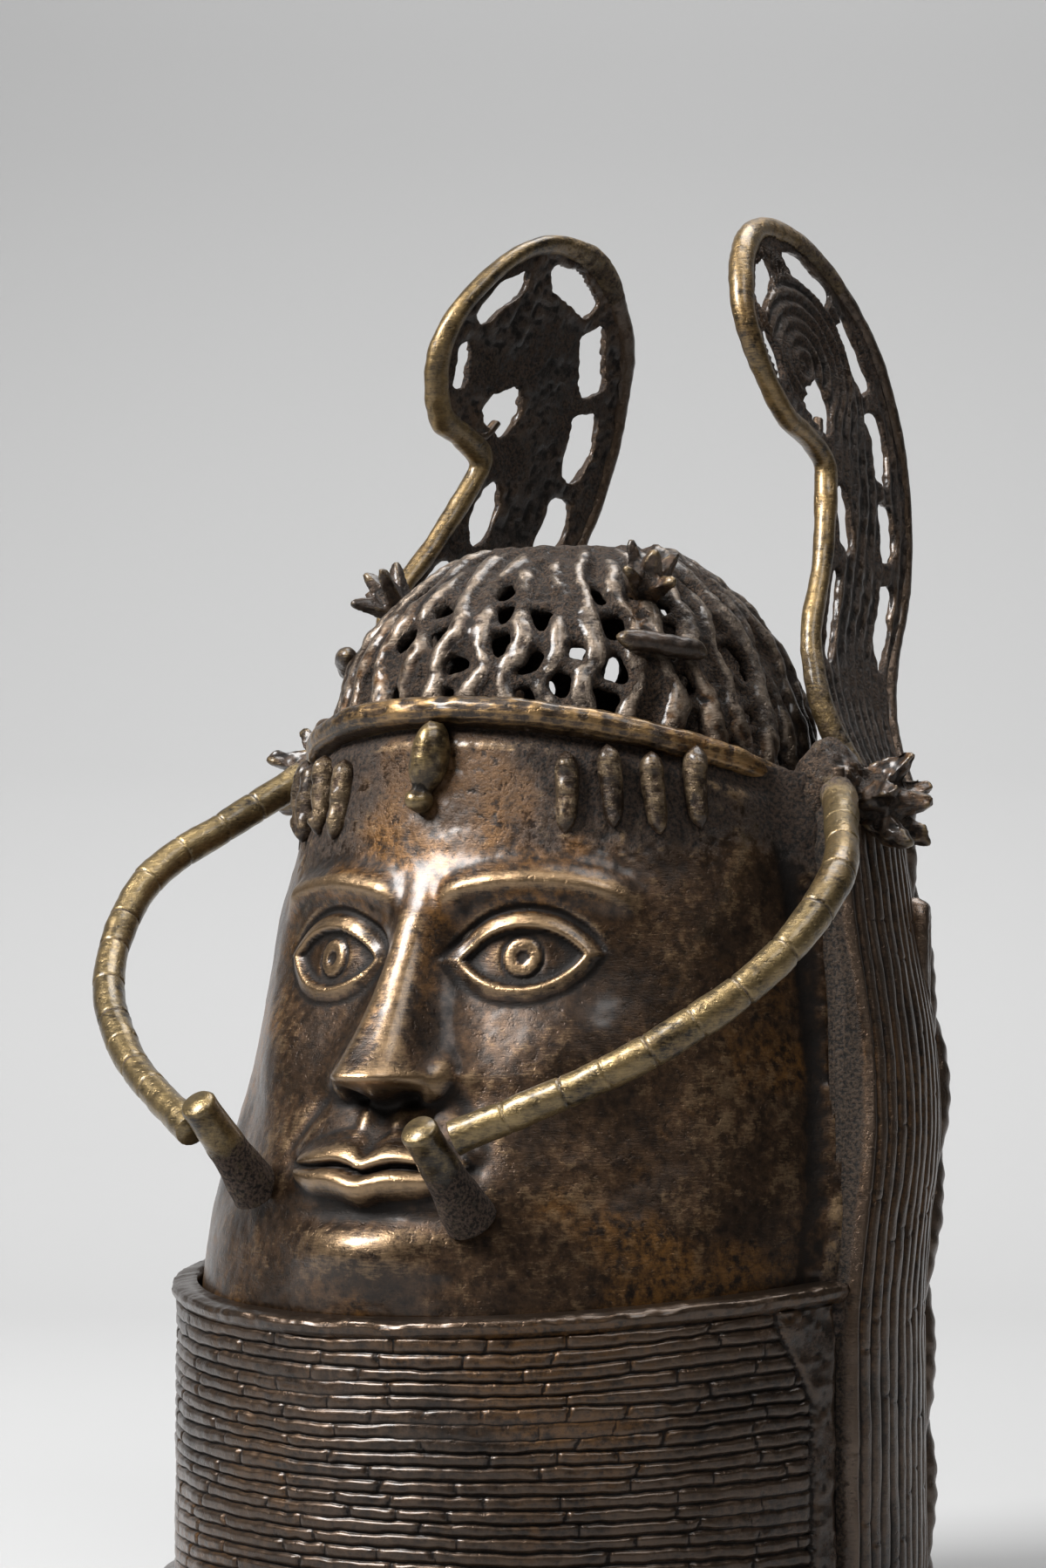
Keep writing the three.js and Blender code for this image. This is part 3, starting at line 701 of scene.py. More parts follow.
share = np.linspace(0, 1, 40)
marks = []
for sign in (-1, 1):
    for number in range(4):
        angle = face_turn + sign * (mark_first + number * mark_step)
        angle = angle + 0.6 * np.sin(3 * share + number)
        height = mark_bottom + mark_length * share + (number % 2) * 2
        path = around(angle, head_radius(angle, height) + 1.2, height, axis_depth(height))
        girth = mark_radius * (0.75 + 0.25 * share) * (1 - np.abs(2 * share - 1) ** 6) + 0.05
        loops = tube_loops(path, radial(angle), 0.9 * girth, girth, 20)
        chipped = waves(loops, (0.8, 4, 36), (0.4, 1.8, 37))
        marks.append(loops + radial(angle)[:, None] * chipped[..., None])
mark_finish = bronze("mark_bronze", dark_patina, (0.26, 0.19, 0.11),
                     wear=0.12, warmth=0.7, dirt=0.6, seed=3.0, bump=0.6)
cast_in(gathered("brow_marks", marks), mark_finish, 0.25)

# Strands beside the face and down the back
# Strings of small beads that hang from the cap's edge to the foot, side by side as a panel.
# They are rubbed almost flat, with narrow grooves between and a notch here and there.
strand_groove = 1.6
strand_middle = 115.0
strand_foot = flange_top - 6
notch_spacing = (30, 90)
side_angles = (strand_start - 0.8, 116.0)
nape_angles = (115.0, 143.0)
nape_step = 5.0
back_angles = (142.0, 218.0)
strand_finish = bronze("strand_bronze", (0.028, 0.016, 0.009), (0.1, 0.07, 0.05),
                       wear=0.4, warmth=0.4, dirt=0.4, seed=4.0, bump=0.45,
                       soil=(0.026, 0.017, 0.011))


def panel_loops(angles, outer, step):
    """Loops of a hanging panel, one for each angle: up its outer face at given radii by
    level, and down its inner face, set back by a step."""
    level = np.linspace(strand_foot, strand_top - step, outer.shape[1])[None, :]
    back_level = level[:, ::-30]
    inner = np.repeat(strand_radius(back_level) - strand_depth - 4, len(outer), axis=0)
    angles = np.hstack([angles, np.repeat(angles[:, -1:], inner.shape[1], axis=1)])
    level = np.hstack([level, back_level])
    return around(angles, np.hstack([outer, inner]), level, axis_depth(level))


def strand_panel(start, end, count, row_count, seed):
    """A panel of strings between two angles: each string is a flat ridge that wanders a
    little, and its radius is the strands' radius less the groove and the notches."""
    steps = 8
    column = np.arange(count * steps)
    roundness = (1 - np.abs(2 * (column % steps) / (steps - 1) - 1) ** 4)[:, None]
    even = np.interp(column, (0, column[-1]), (start, end))[:, None]
    level = np.linspace(strand_foot, strand_top, row_count)[None, :]
    notches = 0.6 * bead_cuts(level[0], count, steps, notch_spacing, 0.6, seed).T
    spots = around(even, strand_middle, level)
    angles = even + 0.4 * lumps(spots * [1, 1, 0.15], 6, seed + 1)
    radius = strand_radius(level) - strand_groove * (1 - roundness * (1 - 0.6 * notches))
    radius = radius + 0.35 * lumps(spots, 13, seed + 2) - 0.5
    radius = radius + 0.14 * lumps(spots * [1, 1, 0.4], 2.2, seed + 3)
    edge = np.minimum(np.abs(even - start), np.abs(even - end))
    radius = radius - 4 * (1 - ease(edge, 0, 1.6))
    loops = panel_loops(angles, radius, 0.0)
    return loops, np.broadcast_to(0.95 * swell(edge, 0.7), loops.shape[:2])


for name, sign, seed in (("right", -1, 41), ("left", 1, 51)):
    loops, earth = strand_panel(sign * side_angles[0], sign * side_angles[1], 11, 280, seed)
    cast_in(swept_piece("side_strands_" + name, loops), strand_finish, earth.ravel())
    even = sign * np.linspace(*nape_angles, 24)[:, None]
    level = np.linspace(strand_foot, strand_top - nape_step, 100)[None, :]
    spots = around(even, strand_middle, level)
    plain = strand_radius(level) - nape_step - 0.6
    plain = plain + waves(spots, (0.5, 12, seed + 5), (0.2, 4, seed + 6))
    loops = panel_loops(np.broadcast_to(even, plain.shape), plain, nape_step)
    cast_in(swept_piece("nape_" + name, loops), strand_finish, 0.25)
loops, earth = strand_panel(*back_angles, 11, 200, 61)
cast_in(swept_piece("back_strands", loops), strand_finish, earth.ravel())

# Locks
# A twisted lock of hair that hangs behind each ear down to the foot.
# It is two ropes of wax wound round each other, marked across with short strokes.
lock_angle = 132.0
lock_radius = 9.0
lock_twist = 44.0
both_sides = (("right", -1), ("left", 1))

for name, sign in both_sides:
    height = np.linspace(flange_top - 8, strand_top - 4, 240)[:, None]
    turn = np.linspace(0, 2 * np.pi, 30, endpoint=False)
    wound = turn - sign * height / lock_twist * np.pi
    strokes = np.cos(wound) * np.sin(height / 3.4 * np.pi + 3 * wound)
    thick = lock_radius - 2.2 + 3.4 * np.abs(np.cos(wound)) ** 0.8 + 0.3 * strokes
    middle = around(sign * lock_angle, strand_radius(height) - 4, height, axis_depth(height))
    spokes = np.stack([thick * np.cos(turn), thick * np.sin(turn), 0 * thick], axis=-1)
    loops = middle + spokes
    loops = loops + (0.35 * lumps(loops, 4, 71) - 0.3)[..., None] * spokes / lock_radius
    cast_in(swept_piece("lock_" + name, loops), strand_finish, 0.15)

# Ears
# An ear behind the side strands, seen edge on from the front: a rolled rim, an inner ridge
# and a lobe on a low plate.
ear_angle = 117.5
ear_height = 212.0
ear_half_width = 8.7
ear_half_height = 28.5
ear_rim = 4.2


def melt(piece, cell, rounds):
    """Turns a piece into one skin of even cells, in millimetres, eased by rounds of
    averaging."""
    remesh = piece.modifiers.new("melt", "REMESH")
    remesh.mode = "VOXEL"
    remesh.voxel_size = cell * 0.001
    average = piece.modifiers.new("average", "SMOOTH")
    average.factor = 0.5
    average.iterations = rounds
    shown = piece.evaluated_get(bpy.context.evaluated_depsgraph_get())
    rough_mesh = piece.data
    piece.data = bpy.data.meshes.new_from_object(shown)
    piece.modifiers.clear()
    bpy.data.meshes.remove(rough_mesh)
    return piece


def melted(name, parts, cell, rounds):
    """Overlapping closed skins, each given as its loops, melted into one piece."""
    return melt(gathered(name, parts), cell, rounds)


def roughened(piece, layers):
    """Moves each point along its normal by lumps less 0.3, each layer given as its height,
    size and seed."""
    points, normals = read_mesh(piece.data)
    rise = sum(height * (lumps(points, size, seed) - 0.3) for height, size, seed in layers)
    turn_out(piece.data, points + normals * rise[:, None])
    return piece


along_y = np.array([0.0, 1.0, 0.0])
along_z = np.array([0.0, 0.0, 1.0])
turn = np.linspace(-0.6, 1.25, 60) * np.pi
flat_parts = []
for width, height, girth in ((ear_half_width, ear_half_height, ear_rim), (4.0, 17.0, 2.6)):
    path = np.stack([width * np.sin(turn), height * np.cos(turn), np.zeros(60)], axis=-1)
    flat_parts.append(tube_loops(path, along_z, girth * 0.75, girth, 12))
lobe = np.array([[1.5, -24.0, -3.0], [2.0, -24.5, 0.0], [2.5, -25.0, 4.0]])
plate = np.array([[0.0, 0.0, -9.0], [0.0, 0.0, -4.0], [0.0, 0.0, 0.5]])
flat_parts.append(tube_loops(lobe, along_y, 6.5, 7.0, 14))
flat_parts.append(tube_loops(plate, along_y, ear_half_width + 3, ear_half_height + 4, 30))
for name, sign in both_sides:
    ear = roughened(melted("ear_" + name, flat_parts, 1.1, 2), [(0.35, 5, 75), (0.15, 2.2, 76)])
    points = read_mesh(ear.data)[0]
    radius = strand_radius(ear_height) - 4
    angle = sign * ear_angle + np.degrees((points[:, 0] - 0.2 * sign * points[:, 1]) / radius)
    height = ear_height + points[:, 1]
    turn_out(ear.data, around(angle, radius + points[:, 2], height, axis_depth(height)))
    cast_in(ear, strand_finish, 0.2)

# Inner wall
# The casting's hollow inside, as the core left it: a plain dark skin of soft waves,
# seen from below and through the crown opening.
levels = np.concatenate([np.linspace(0.5, 108, 26), np.linspace(111, rim_low + 2, 40)])[None, :]
angles = full_turn(120)
inside = head_radius(angles, levels) - head_wall
inside = hollow_radius + (inside - hollow_radius) * ease(levels, 100, 130)
spots = around(angles, inside, levels)
inside = inside + waves(spots, (0.6, 18, 81), (0.3, 6, 82)) + 0.4
skin = around(angles, inside, levels, axis_depth(levels))
outside = around(angles, inside + 1.6, levels, axis_depth(levels))[:, ::-1]
loops = np.concatenate([skin, outside], axis=1)
core_finish = bronze("core_bronze", (0.04, 0.03, 0.024), (0.1, 0.08, 0.06),
                     wear=0.2, warmth=0.3, dirt=0.9, seed=5.0, bump=0.5)
cast_in(swept_piece("inner_wall", loops, wrap=True), core_finish, 0.4)

# Cap
# A cap of coral beads cast as openwork: ribs that run up the dome, tied by short links that
# leave long holes between them, with the core's earth left in some. The crown is open.
cap_radius = 82.0
cap_top = 359.0
crown_radius = 26.0
crown_lip = 8.0
cap_top_rise = np.degrees(np.arccos((crown_radius + crown_lip) / cap_radius))
rib_count = 38
link_step = 11.5
packed_angles = (62, 112)
cap_finish = bronze("cap_bronze", (0.026, 0.016, 0.01), (0.24, 0.19, 0.145),
                    wear=0.28, warmth=0.6, dirt=0.8, seed=6.0, bump=0.8,
                    soil=(0.032, 0.019, 0.011))


def cap_point(angle, rise, proud=0.0):
    """A point on the dome: the radius shrinks with the cosine of the rise in degrees, and the
    height climbs with its sine from the cap's edge to its top."""
    climb = np.sin(np.radians(rise)) / np.sin(np.radians(cap_top_rise))
    level = rim_level(angle)
    radius = (cap_radius + proud) * np.cos(np.radians(rise))
    return around(angle, radius, level + climb * (cap_top - level) + proud * climb, head_set_back)


def cap_outward(angle, rise):
    """The direction outward from the dome."""
    out = cap_point(angle, rise, 10.0) - cap_point(angle, rise)
    return out / np.linalg.norm(out, axis=-1, keepdims=True)


random = np.random.default_rng(7)
rises = np.linspace(-8, cap_top_rise + 2, 60)
rib_step = 360 / rib_count
parts = []
for rib in range(rib_count):
    bends = 1.8 * np.sin(rises / 7 + random.uniform(0, 6))
    bends = bends + 0.9 * np.sin(rises / 3.1 + random.uniform(0, 6))
    angle = rib * rib_step + bends + random.uniform(-1.2, 1.2)
    swell_along = random.uniform(0.85, 1.1) + 0.18 * np.sin(rises / 4.2 + random.uniform(0, 6))
    path = cap_point(angle, rises, -3.6 + random.uniform(-0.6, 0.6))
    across = np.interp(rises, (-8, 30, cap_top_rise), (4.6, 4.2, 3.2)) * swell_along
    parts.append(tube_loops(path, cap_outward(angle, rises), across, 3.7 * swell_along, 12))
    start = (4 if rib % 2 else 10) + random.uniform(-1.5, 1.5)
    packed = packed_angles[0] < rib * rib_step < packed_angles[1]
    for rise in np.arange(start, cap_top_rise, link_step):
        ends = (rib + np.linspace(0.1, 0.9, 6)) * rib_step
        place = rise + random.uniform(-2, 2) + random.uniform(-3, 3) * np.linspace(-1, 1, 6)
        path = cap_point(ends, place, -5.2)
        parts.append(tube_loops(path, cap_outward(ends, place), random.uniform(1.8, 3.6), 2.6, 10))
        if random.random() < (0.7 if packed else 0.3):
            place = place + 6.5
            path = cap_point(ends, place, -5.4 + random.uniform(-0.6, 0.6))
            width = random.uniform(3.5, 6.0)
            parts.append(tube_loops(path, cap_outward(ends, place), width, 2.0, 10))
ring_angle = np.linspace(0, 370, 120)
crown = around(ring_angle, crown_radius + crown_lip / 2 + 1, cap_top - 3.2, head_set_back)
parts.append(tube_loops(crown, along_z, crown_lip / 2 + 1, 2.8, 12))
cap = roughened(melted("openwork_cap", parts, 1.3, 1), [(0.6, 7, 91), (0.5, 2.8, 92)])
points = read_mesh(cap.data)[0]
aside, behind, height = points[:, 0], points[:, 1] - head_set_back, points[:, 2]
edge = rim_level(np.degrees(np.arctan2(aside, -behind)))
climb = (height - edge) / (cap_top - edge) * np.sin(np.radians(cap_top_rise))
depth = cap_radius * np.sqrt(1 - np.clip(climb, -0.9, 0.9) ** 2) - np.hypot(aside, behind)
cap_earth = 0.06 + 0.6 * ease(depth, 1.4, 3.0)
cap_earth = cap_earth + 0.4 * ease(lumps(points, 15, 93), 0, 0.5) * ease(aside, 5, 60)
cast_in(cap, cap_finish, cap_earth)

# Ledge round the cap
# The ledge that runs round the cap's edge, high over the brow and low at the temples.
# Its outer edge is rubbed bright, and behind it widens to cover the strands' tops.
rim_radius = 90.0
rim_edge = np.array([
    (rim_radius - 17, -5.6),
    (rim_radius - 7, -5.8),
    (rim_radius - 4.6, -5.0),
    (rim_radius - 2.2, -4.2),
    (rim_radius - 0.7, -2.8),
    (rim_radius, -0.8),
    (rim_radius - 0.3, 1.4),
    (rim_radius - 1.4, 3.2),
    (rim_radius - 3.2, 4.0),
    (rim_radius - 5.5, 3.0),
    (rim_radius - 17, 2.2),
])
rim_finish = bronze("rim_bronze", (0.036, 0.021, 0.01), (0.34, 0.21, 0.09),
                    wear=0.33, warmth=0.8, dirt=0.3, seed=8.0, bump=0.5)
profile = filled_outline(rim_edge, 0.9)
angles = full_turn(360)
turned = np.abs(angles)
behind = (np.maximum(turned - 86, 0) / 94) ** 0.5
reach = (strand_radius_top + 0.5 - rim_radius) * behind * (profile[:, 0] > rim_radius - 8)
radius = profile[:, 0] + reach
edge = rim_level(angles)
step = profile[:, 1] + 2.5 * ease(turned, 86, 100)
spots = around(angles, radius, edge + step)
rubbed = waves(spots, (0.5, 16, 95), (0.35, 5, 96), (0.2, 2, 97))
loops = around(angles, radius + rubbed - 0.5, edge + step + 0.7 * rubbed, head_set_back)
streaks = 0.5 * ease(lumps(spots * [1, 1, 0.3], 3.5, 98), 0.2, 0.8)
rim_earth = np.clip(streaks + 0.7 * ease(turned, 72, 84), 0, 1)
cast_in(swept_piece("cap_ledge", loops, wrap=True), rim_finish, rim_earth.ravel())

# Studs on the cap and rosettes at the temples
# Pointed studs that stand out in a fan: six at each temple, from a lump of earth and metal,
# and five on each side of the cap over a short bar, cut with flat facets and bright at the tips.
rosette_side = 104.0
rosette_depth = 24.0
rosette_height = {"left": 273.0, "right": 289.0}
rosette_count = 6
rosette_reach = 26.0
rosette_stud = 8.2
mound_radius = 12.0
stud_lean = 0.8
cluster_count = 5
cluster_stud = 5.0
cluster_angle = 55.5
cluster_rise = 43.0
cluster_reach = 18.0
bar_rise = 24.0
bar_length = 34.0
facet_up = np.array([0.13, -0.31, 0.94])
toward_front = np.array([0.0, -1.0, 0.0])
stud_finish = bronze("stud_bronze", (0.026, 0.016, 0.01), (0.22, 0.16, 0.085),
                     wear=0.16, warmth=0.4, dirt=0.7, seed=9.0, bump=0.7,
                     soil=(0.05, 0.031, 0.019))


def stud_loops(centre, tip, root_radius, tip_radius, sides):
    """A stud from its centre to its tip, whose girth goes from the root's to the tip's with
    the share of the length to the power 1.25 and narrows again at the very end."""
    share = np.linspace(0, 1, 12)
    path = centre + (tip - centre) * share[:, None]
    girth = root_radius + (tip_radius - root_radius) * share ** 1.25
    girth = girth * (1 - 0.45 * ease(share, 0.88, 1.0))
    return tube_loops(path, facet_up, girth, girth, sides)


def stud_fan(centre, facing, count, reach, width):
    """A stud straight out and the rest leaning evenly round it."""
    out = facing / np.linalg.norm(facing)
    across = np.cross([0, 0, 1], out)
    across /= np.linalg.norm(across)
    up = np.cross(out, across)
    studs = [stud_loops(centre, centre + out * reach, width * 1.25, width * 0.45, 5)]
    for number in range(1, count):
        turn = number / (count - 1) * 2 * np.pi + 0.4
        way = out + stud_lean * (np.cos(turn) * across + np.sin(turn) * up)
        way *= reach / np.linalg.norm(way)
        studs.append(stud_loops(centre, centre + way, width * 1.05, width * 0.4, 4))
    return studs


for name, sign in both_sides:
    centre = np.array([sign * rosette_side, rosette_depth, rosette_height[name]])
    share = np.linspace(0, 1, 12)
    root = centre - [sign * 14, 0, 2]
    boss = root + (centre + [sign * 4, 0, 0] - root) * share[:, None]
    girth = 14 - 5 * share ** 2
    parts = [tube_loops(boss, along_z, girth, 13 - 4 * share ** 2, 20)]
    turn = np.linspace(0.05, np.pi - 0.05, 16)
    mound_top = centre + [-6 * sign, -8, 5]
    mound = mound_top - 1.3 * mound_radius * np.cos(turn)[:, None] * along_z
    girth = mound_radius * np.sin(turn)
    parts.append(tube_loops(mound, toward_front, girth, 1.1 * girth, 20))
    facing = np.array([sign, 0.15, 0.0])
    parts += stud_fan(centre, facing, rosette_count, rosette_reach, rosette_stud)
    rosette = roughened(melted("rosette_" + name, parts, 0.95, 1), [(1.4, 7, 101), (0.8, 2.8, 102)])
    side = np.abs(read_mesh(rosette.data)[0][:, 0])
    cast_in(rosette, stud_finish, 0.65 * (1 - ease(side, 100, 110)))

    angle = sign * cluster_angle
    centre = cap_point(angle, cluster_rise, -3.0)
    facing = cap_point(angle, cluster_rise, 12.0) - centre
    parts = stud_fan(centre, facing, cluster_count, cluster_reach, cluster_stud)
    half = np.degrees(bar_length / 2 / cap_radius)
    ends = angle + np.linspace(-half, half, 30)
    rises = np.full(30, bar_rise)
    girth = 3.7 * (1 - np.abs(np.linspace(-1, 1, 30)) ** 8) + 0.1
    bar = cap_point(ends, rises, 1.5)
    parts.append(tube_loops(bar, cap_outward(ends, rises), girth, girth, 12))
    cluster = melted("cap_studs_" + name, parts, 0.8, 1)
    cast_in(roughened(cluster, [(0.4, 5, 103), (0.25, 2.2, 104)]), stud_finish, 0.1)

# Pendant
# A bead and a knob that hang forward from the middle of the cap's edge.
# They were modelled in wax as one drop and tied to the ledge by a short lump.
pendant_side = 6.0
pendant_finish = bronze("pendant_bronze", (0.045, 0.03, 0.014), (0.3, 0.215, 0.1),
                        wear=0.36, warmth=0.3, dirt=0.3, seed=10.0, bump=0.4)
front = head_set_back - rim_radius
drops = np.linspace(0, 1, 60)
path = np.array([pendant_side + 1, front + 3, rim_high - 4]) - np.outer(drops, [4, 6, 29])
bead = 6.9 * np.sqrt(np.clip(1 - ((drops - 0.38) / 0.4) ** 2, 0, 1))
knob = 4.8 * np.sqrt(np.clip(1 - ((drops - 0.86) / 0.14) ** 2, 0, 1))
girth = np.maximum(np.maximum(bead, knob), 3.0 * (drops < 0.95)) + 0.1
parts = [tube_loops(path, toward_front, 0.9 * girth, girth, 18)]
tie = np.array([[pendant_side, front + back, rim_high - 15] for back in (14, 8, 0)])
parts.append(tube_loops(tie, along_z, 5.0, 6.0, 12))
pendant = roughened(melted("pendant", parts, 0.8, 1), [(0.7, 7, 105), (0.25, 2.6, 106)])
cast_in(pendant, pendant_finish)

# Arch rods
# A rod from each temple that arches out and forward to a stub on the cheek. The rods were
# cut round with a chisel every 13 to 20 mm and are rubbed bright where hands reach them.
rod_radius = 5.6
rod_sides = 18
stub_radius = 6.0
stub_sides = 28
rod_plan = np.array([
    (97.0, 17.0, 281.0),
    (107.0, 7.0, 275.0),
    (120.0, -14.0, 264.0),
    (134.0, -42.0, 247.0),
    (126.0, -71.0, 219.0),
    (97.0, -96.0, 194.0),
    (50.0, -119.0, 171.0),
])
stub_foot = np.array([41.0, -98.0, 146.0])
stub_end = np.array([42.0, -126.0, 174.0])
rod_lift = {"left": 0.0, "right": 18.0}
stub_drop = {"left": 0.0, "right": 6.0}
rod_finish = bronze("rod_bronze", (0.035, 0.023, 0.01), (0.27, 0.195, 0.09),
                    wear=0.17, warmth=0.5, dirt=0.3, seed=11.0, bump=0.45)


def curve_through(points, count):
    """Evenly spaced points on a smooth curve through the points: cubic between each two, with
    the slopes of the steps on both sides and the square root of the distance as the time."""
    steps = np.linalg.norm(np.diff(points, axis=0), axis=1)
    times = np.concatenate([[0], np.cumsum(np.sqrt(steps))])
    slopes = np.gradient(points, times, axis=0)
    asked = np.linspace(0, times[-1], 60 * len(points))
    span = np.clip(np.searchsorted(times, asked, side="right") - 1, 0, len(points) - 2)
    width = (times[span + 1] - times[span])[:, None]
    t = (asked - times[span])[:, None] / width
    curve = points[span] * (1 + 2 * t) * (1 - t) ** 2 + points[span + 1] * t * t * (3 - 2 * t)
    curve = curve + width * (slopes[span] * t * (1 - t) ** 2 + slopes[span + 1] * t * t * (t - 1))
    length = np.concatenate([[0], np.cumsum(np.linalg.norm(np.diff(curve, axis=0), axis=1))])
    even = np.linspace(0, length[-1], count)
    return np.stack([np.interp(even, length, axis) for axis in curve.T], axis=-1), even


def lumpy_tube(path, outward, girth, sides, base, layers, sink=0.0):
    """Loops of a round tube, moved along its spokes by waves less a sink: as given where the
    girth is the base, and in proportion elsewhere."""
    loops = tube_loops(path, outward, girth, girth, sides)
    return loops + (loops - path[:, None]) / base * (waves(loops, *layers) - sink)[..., None]


for name, sign, seed in (("right", -1, 111), ("left", 1, 121)):
    fall = 1 - np.linspace(0, 1, len(rod_plan))
    plan = rod_plan * [sign, 1, 1] + np.outer(fall ** 2, [0, 0, rod_lift[name]])
    path, along = curve_through(plan, 640)
    random = np.random.default_rng(seed)
    rings = 24 + np.cumsum(random.uniform(13, 20, 11))
    cuts = (random.uniform(0.4, 1.0, 11) * swell(along[:, None] - rings, 0.5)).max(axis=1)
    girth = rod_radius * (1.0 + 0.03 * np.sin(along / 11) - 0.11 * cuts) - 0.15
    girth = girth - 0.4 * ease(along, 60, 240)
    layers = ((0.35, 7, seed), (0.12, 2.5, seed + 1))
    loops = lumpy_tube(path, np.array([0.0, 0.3, 1.0]), girth, rod_sides, rod_radius, layers)
    rod_earth = np.maximum(0.7 * cuts, 0.75 * (1 - ease(along, 10, 34)))
    cast_in(swept_piece("arch_rod_" + name, loops), rod_finish, np.repeat(rod_earth, rod_sides))

    drop = [0, 0, stub_drop[name]]
    foot_point = stub_foot * [sign, 1, 1] + drop
    end_point = stub_end * [sign, 1, 1] + drop
    share = np.linspace(0, 1, 60)
    path = foot_point + (end_point - foot_point) * share[:, None]
    girth = stub_radius * (1.0 + 0.35 * (1 - ease(share, 0.1, 0.5)) - 0.04 * np.sin(share * 9))
    girth = girth - 0.9 * ease(share, 0.97, 1.0)
    layers = ((0.3, 5, seed + 2),)
    loops = lumpy_tube(path, np.array([1.0, 0.0, 0.0]), girth, stub_sides, stub_radius, layers, 0.1)
    foot_earth = 0.75 * (1 - ease(share, 0.45, 0.75))
    cast_in(swept_piece("stub_" + name, loops), rod_finish, np.repeat(foot_earth, stub_sides))

# Wings
# Two tall wings that stand up from the temples: a plate with slots round a disc and down its
# stem, and a rod along its edge. On the outer face the disc has arcs and the stem fine lines.
wing_thickness = 4.5
front_rod_radius = 3.9
back_rod_radius = 3.1
back_rod_start = 3.6
front_rod_share = 0.6
wing_rod_sides = 14
wing_stand = 78.0
wing_middle = 380.0
wing_front_depth = 41.0
wing_splay = 0.12
wing_twist = 0.0007
curl_start = 320.0
curl_rate = 0.00086
flare_end = 340.0
flare_rate = 0.0052
wing_outline = np.array([
    (38.0, 286.0), (34.0, 307.0), (38.0, 328.0), (50.0, 352.0), (58.0, 376.0), (59.0, 389.0),
    (47.0, 396.0), (30.0, 402.0), (13.0, 427.0), (17.0, 447.0), (34.0, 463.5), (66.0, 464.0),
    (105.0, 439.0), (121.0, 409.0), (126.0, 378.0), (121.0, 345.0), (101.0, 312.0), (86.0, 280.0),
])
wing_slots = [
    [(22, 438), (26, 449), (36, 455), (39, 449), (27, 435)],
    [(47, 459), (63, 459), (81, 450), (78, 444), (53, 452)],
    [(81, 437), (89, 443), (105, 421), (95, 417)],
    [(21, 427), (26, 428), (34, 414), (29, 413)],
    [(47, 407), (50, 412), (61, 417), (67, 408), (63, 398), (52, 403)],
    [(96, 410), (108, 411), (113, 398), (110, 387), (102, 388)],
    [(102, 380), (112, 379), (115, 367), (111, 360), (101, 361)],
    [(99, 350), (112, 352), (109, 336), (97, 321), (93, 328)],
    [(65, 379), (70, 383), (75, 376), (76, 363), (71, 359), (65, 367)],
    [(58, 352), (65, 353), (60, 337), (50, 321), (46, 323)],
]
disc_middle = np.array([60.0, 428.0])
disc_reach = np.array([34.0, 26.0])
arc_middle = np.array([50.0, 420.0])
arc_pitch = 5.0
line_count = 9
stem_front = np.array([(290, 38), (330, 40), (352, 50), (376, 60), (400, 66), (440, 84)])
stem_back = np.array([(290, 90), (312, 101), (345, 121), (378, 126), (409, 121), (440, 105)])
wing_sides = {"left": (1, 0.0, 0.0, 0.0), "right": (-1, 12.0, 0.37, 0.14)}
wing_soil = (0.03, 0.018, 0.011)
wing_finish = bronze("wing_bronze", (0.024, 0.014, 0.008), (0.08, 0.054, 0.036),
                     wear=0.34, warmth=0.5, dirt=0.6, seed=12.0, bump=0.6, soil=wing_soil)
frame_finish = bronze("frame_bronze", (0.035, 0.022, 0.01), (0.3, 0.205, 0.09),
                      wear=0.14, warmth=0.5, dirt=0.4, seed=13.0, bump=0.5, soil=wing_soil)


def wing_place(side, depth, height, out):
    """Where a point of the flat wing stands: splayed and curled in as it rises, flared at its
    foot, and on one side leaning back and in and standing higher."""
    sign, lift, lean_back, lean_in = wing_sides[side]
    above = height - wing_middle
    splay = wing_splay - wing_twist * above
    curl = curl_rate * np.maximum(height - curl_start, 0) ** 2
    flare = flare_rate * np.maximum(flare_end - height, 0) ** 2
    rising = ease(height, 300, 345)
    x = wing_stand - splay * (depth - wing_front_depth) - curl + flare - lean_in * above * rising
    y = depth + lean_back * above * rising
    return np.stack([sign * (x + out), y, height + lift * rising], axis=-1)


def slotted_plate(name, outline, slots, thickness):
    """A flat plate with slots: a smooth outline and straight-sided slots, filled and made
    thick."""
    flat = bpy.data.curves.new(name, "CURVE")
    flat.dimensions = "2D"
    flat.fill_mode = "BOTH"
    flat.extrude = thickness * 0.0005
    flat.resolution_u = 5
    for corners in [outline, *slots]:
        spline = flat.splines.new("BEZIER")
        spline.bezier_points.add(len(corners) - 1)
        spline.use_cyclic_u = True
        for point, corner in zip(spline.bezier_points, corners):
            point.co = (corner[0] * 0.001, corner[1] * 0.001, 0)
            kind = "AUTO" if corners is outline else "VECTOR"
            point.handle_left_type = point.handle_right_type = kind
    drawn = bpy.data.objects.new(name, flat)
    bpy.context.scene.collection.objects.link(drawn)
    shown = drawn.evaluated_get(bpy.context.evaluated_depsgraph_get())
    piece = bpy.data.objects.new(name, bpy.data.meshes.new_from_object(shown))
    bpy.context.scene.collection.objects.link(piece)
    bpy.data.objects.remove(drawn)
    bpy.data.curves.remove(flat)
    piece.name = name
    return piece


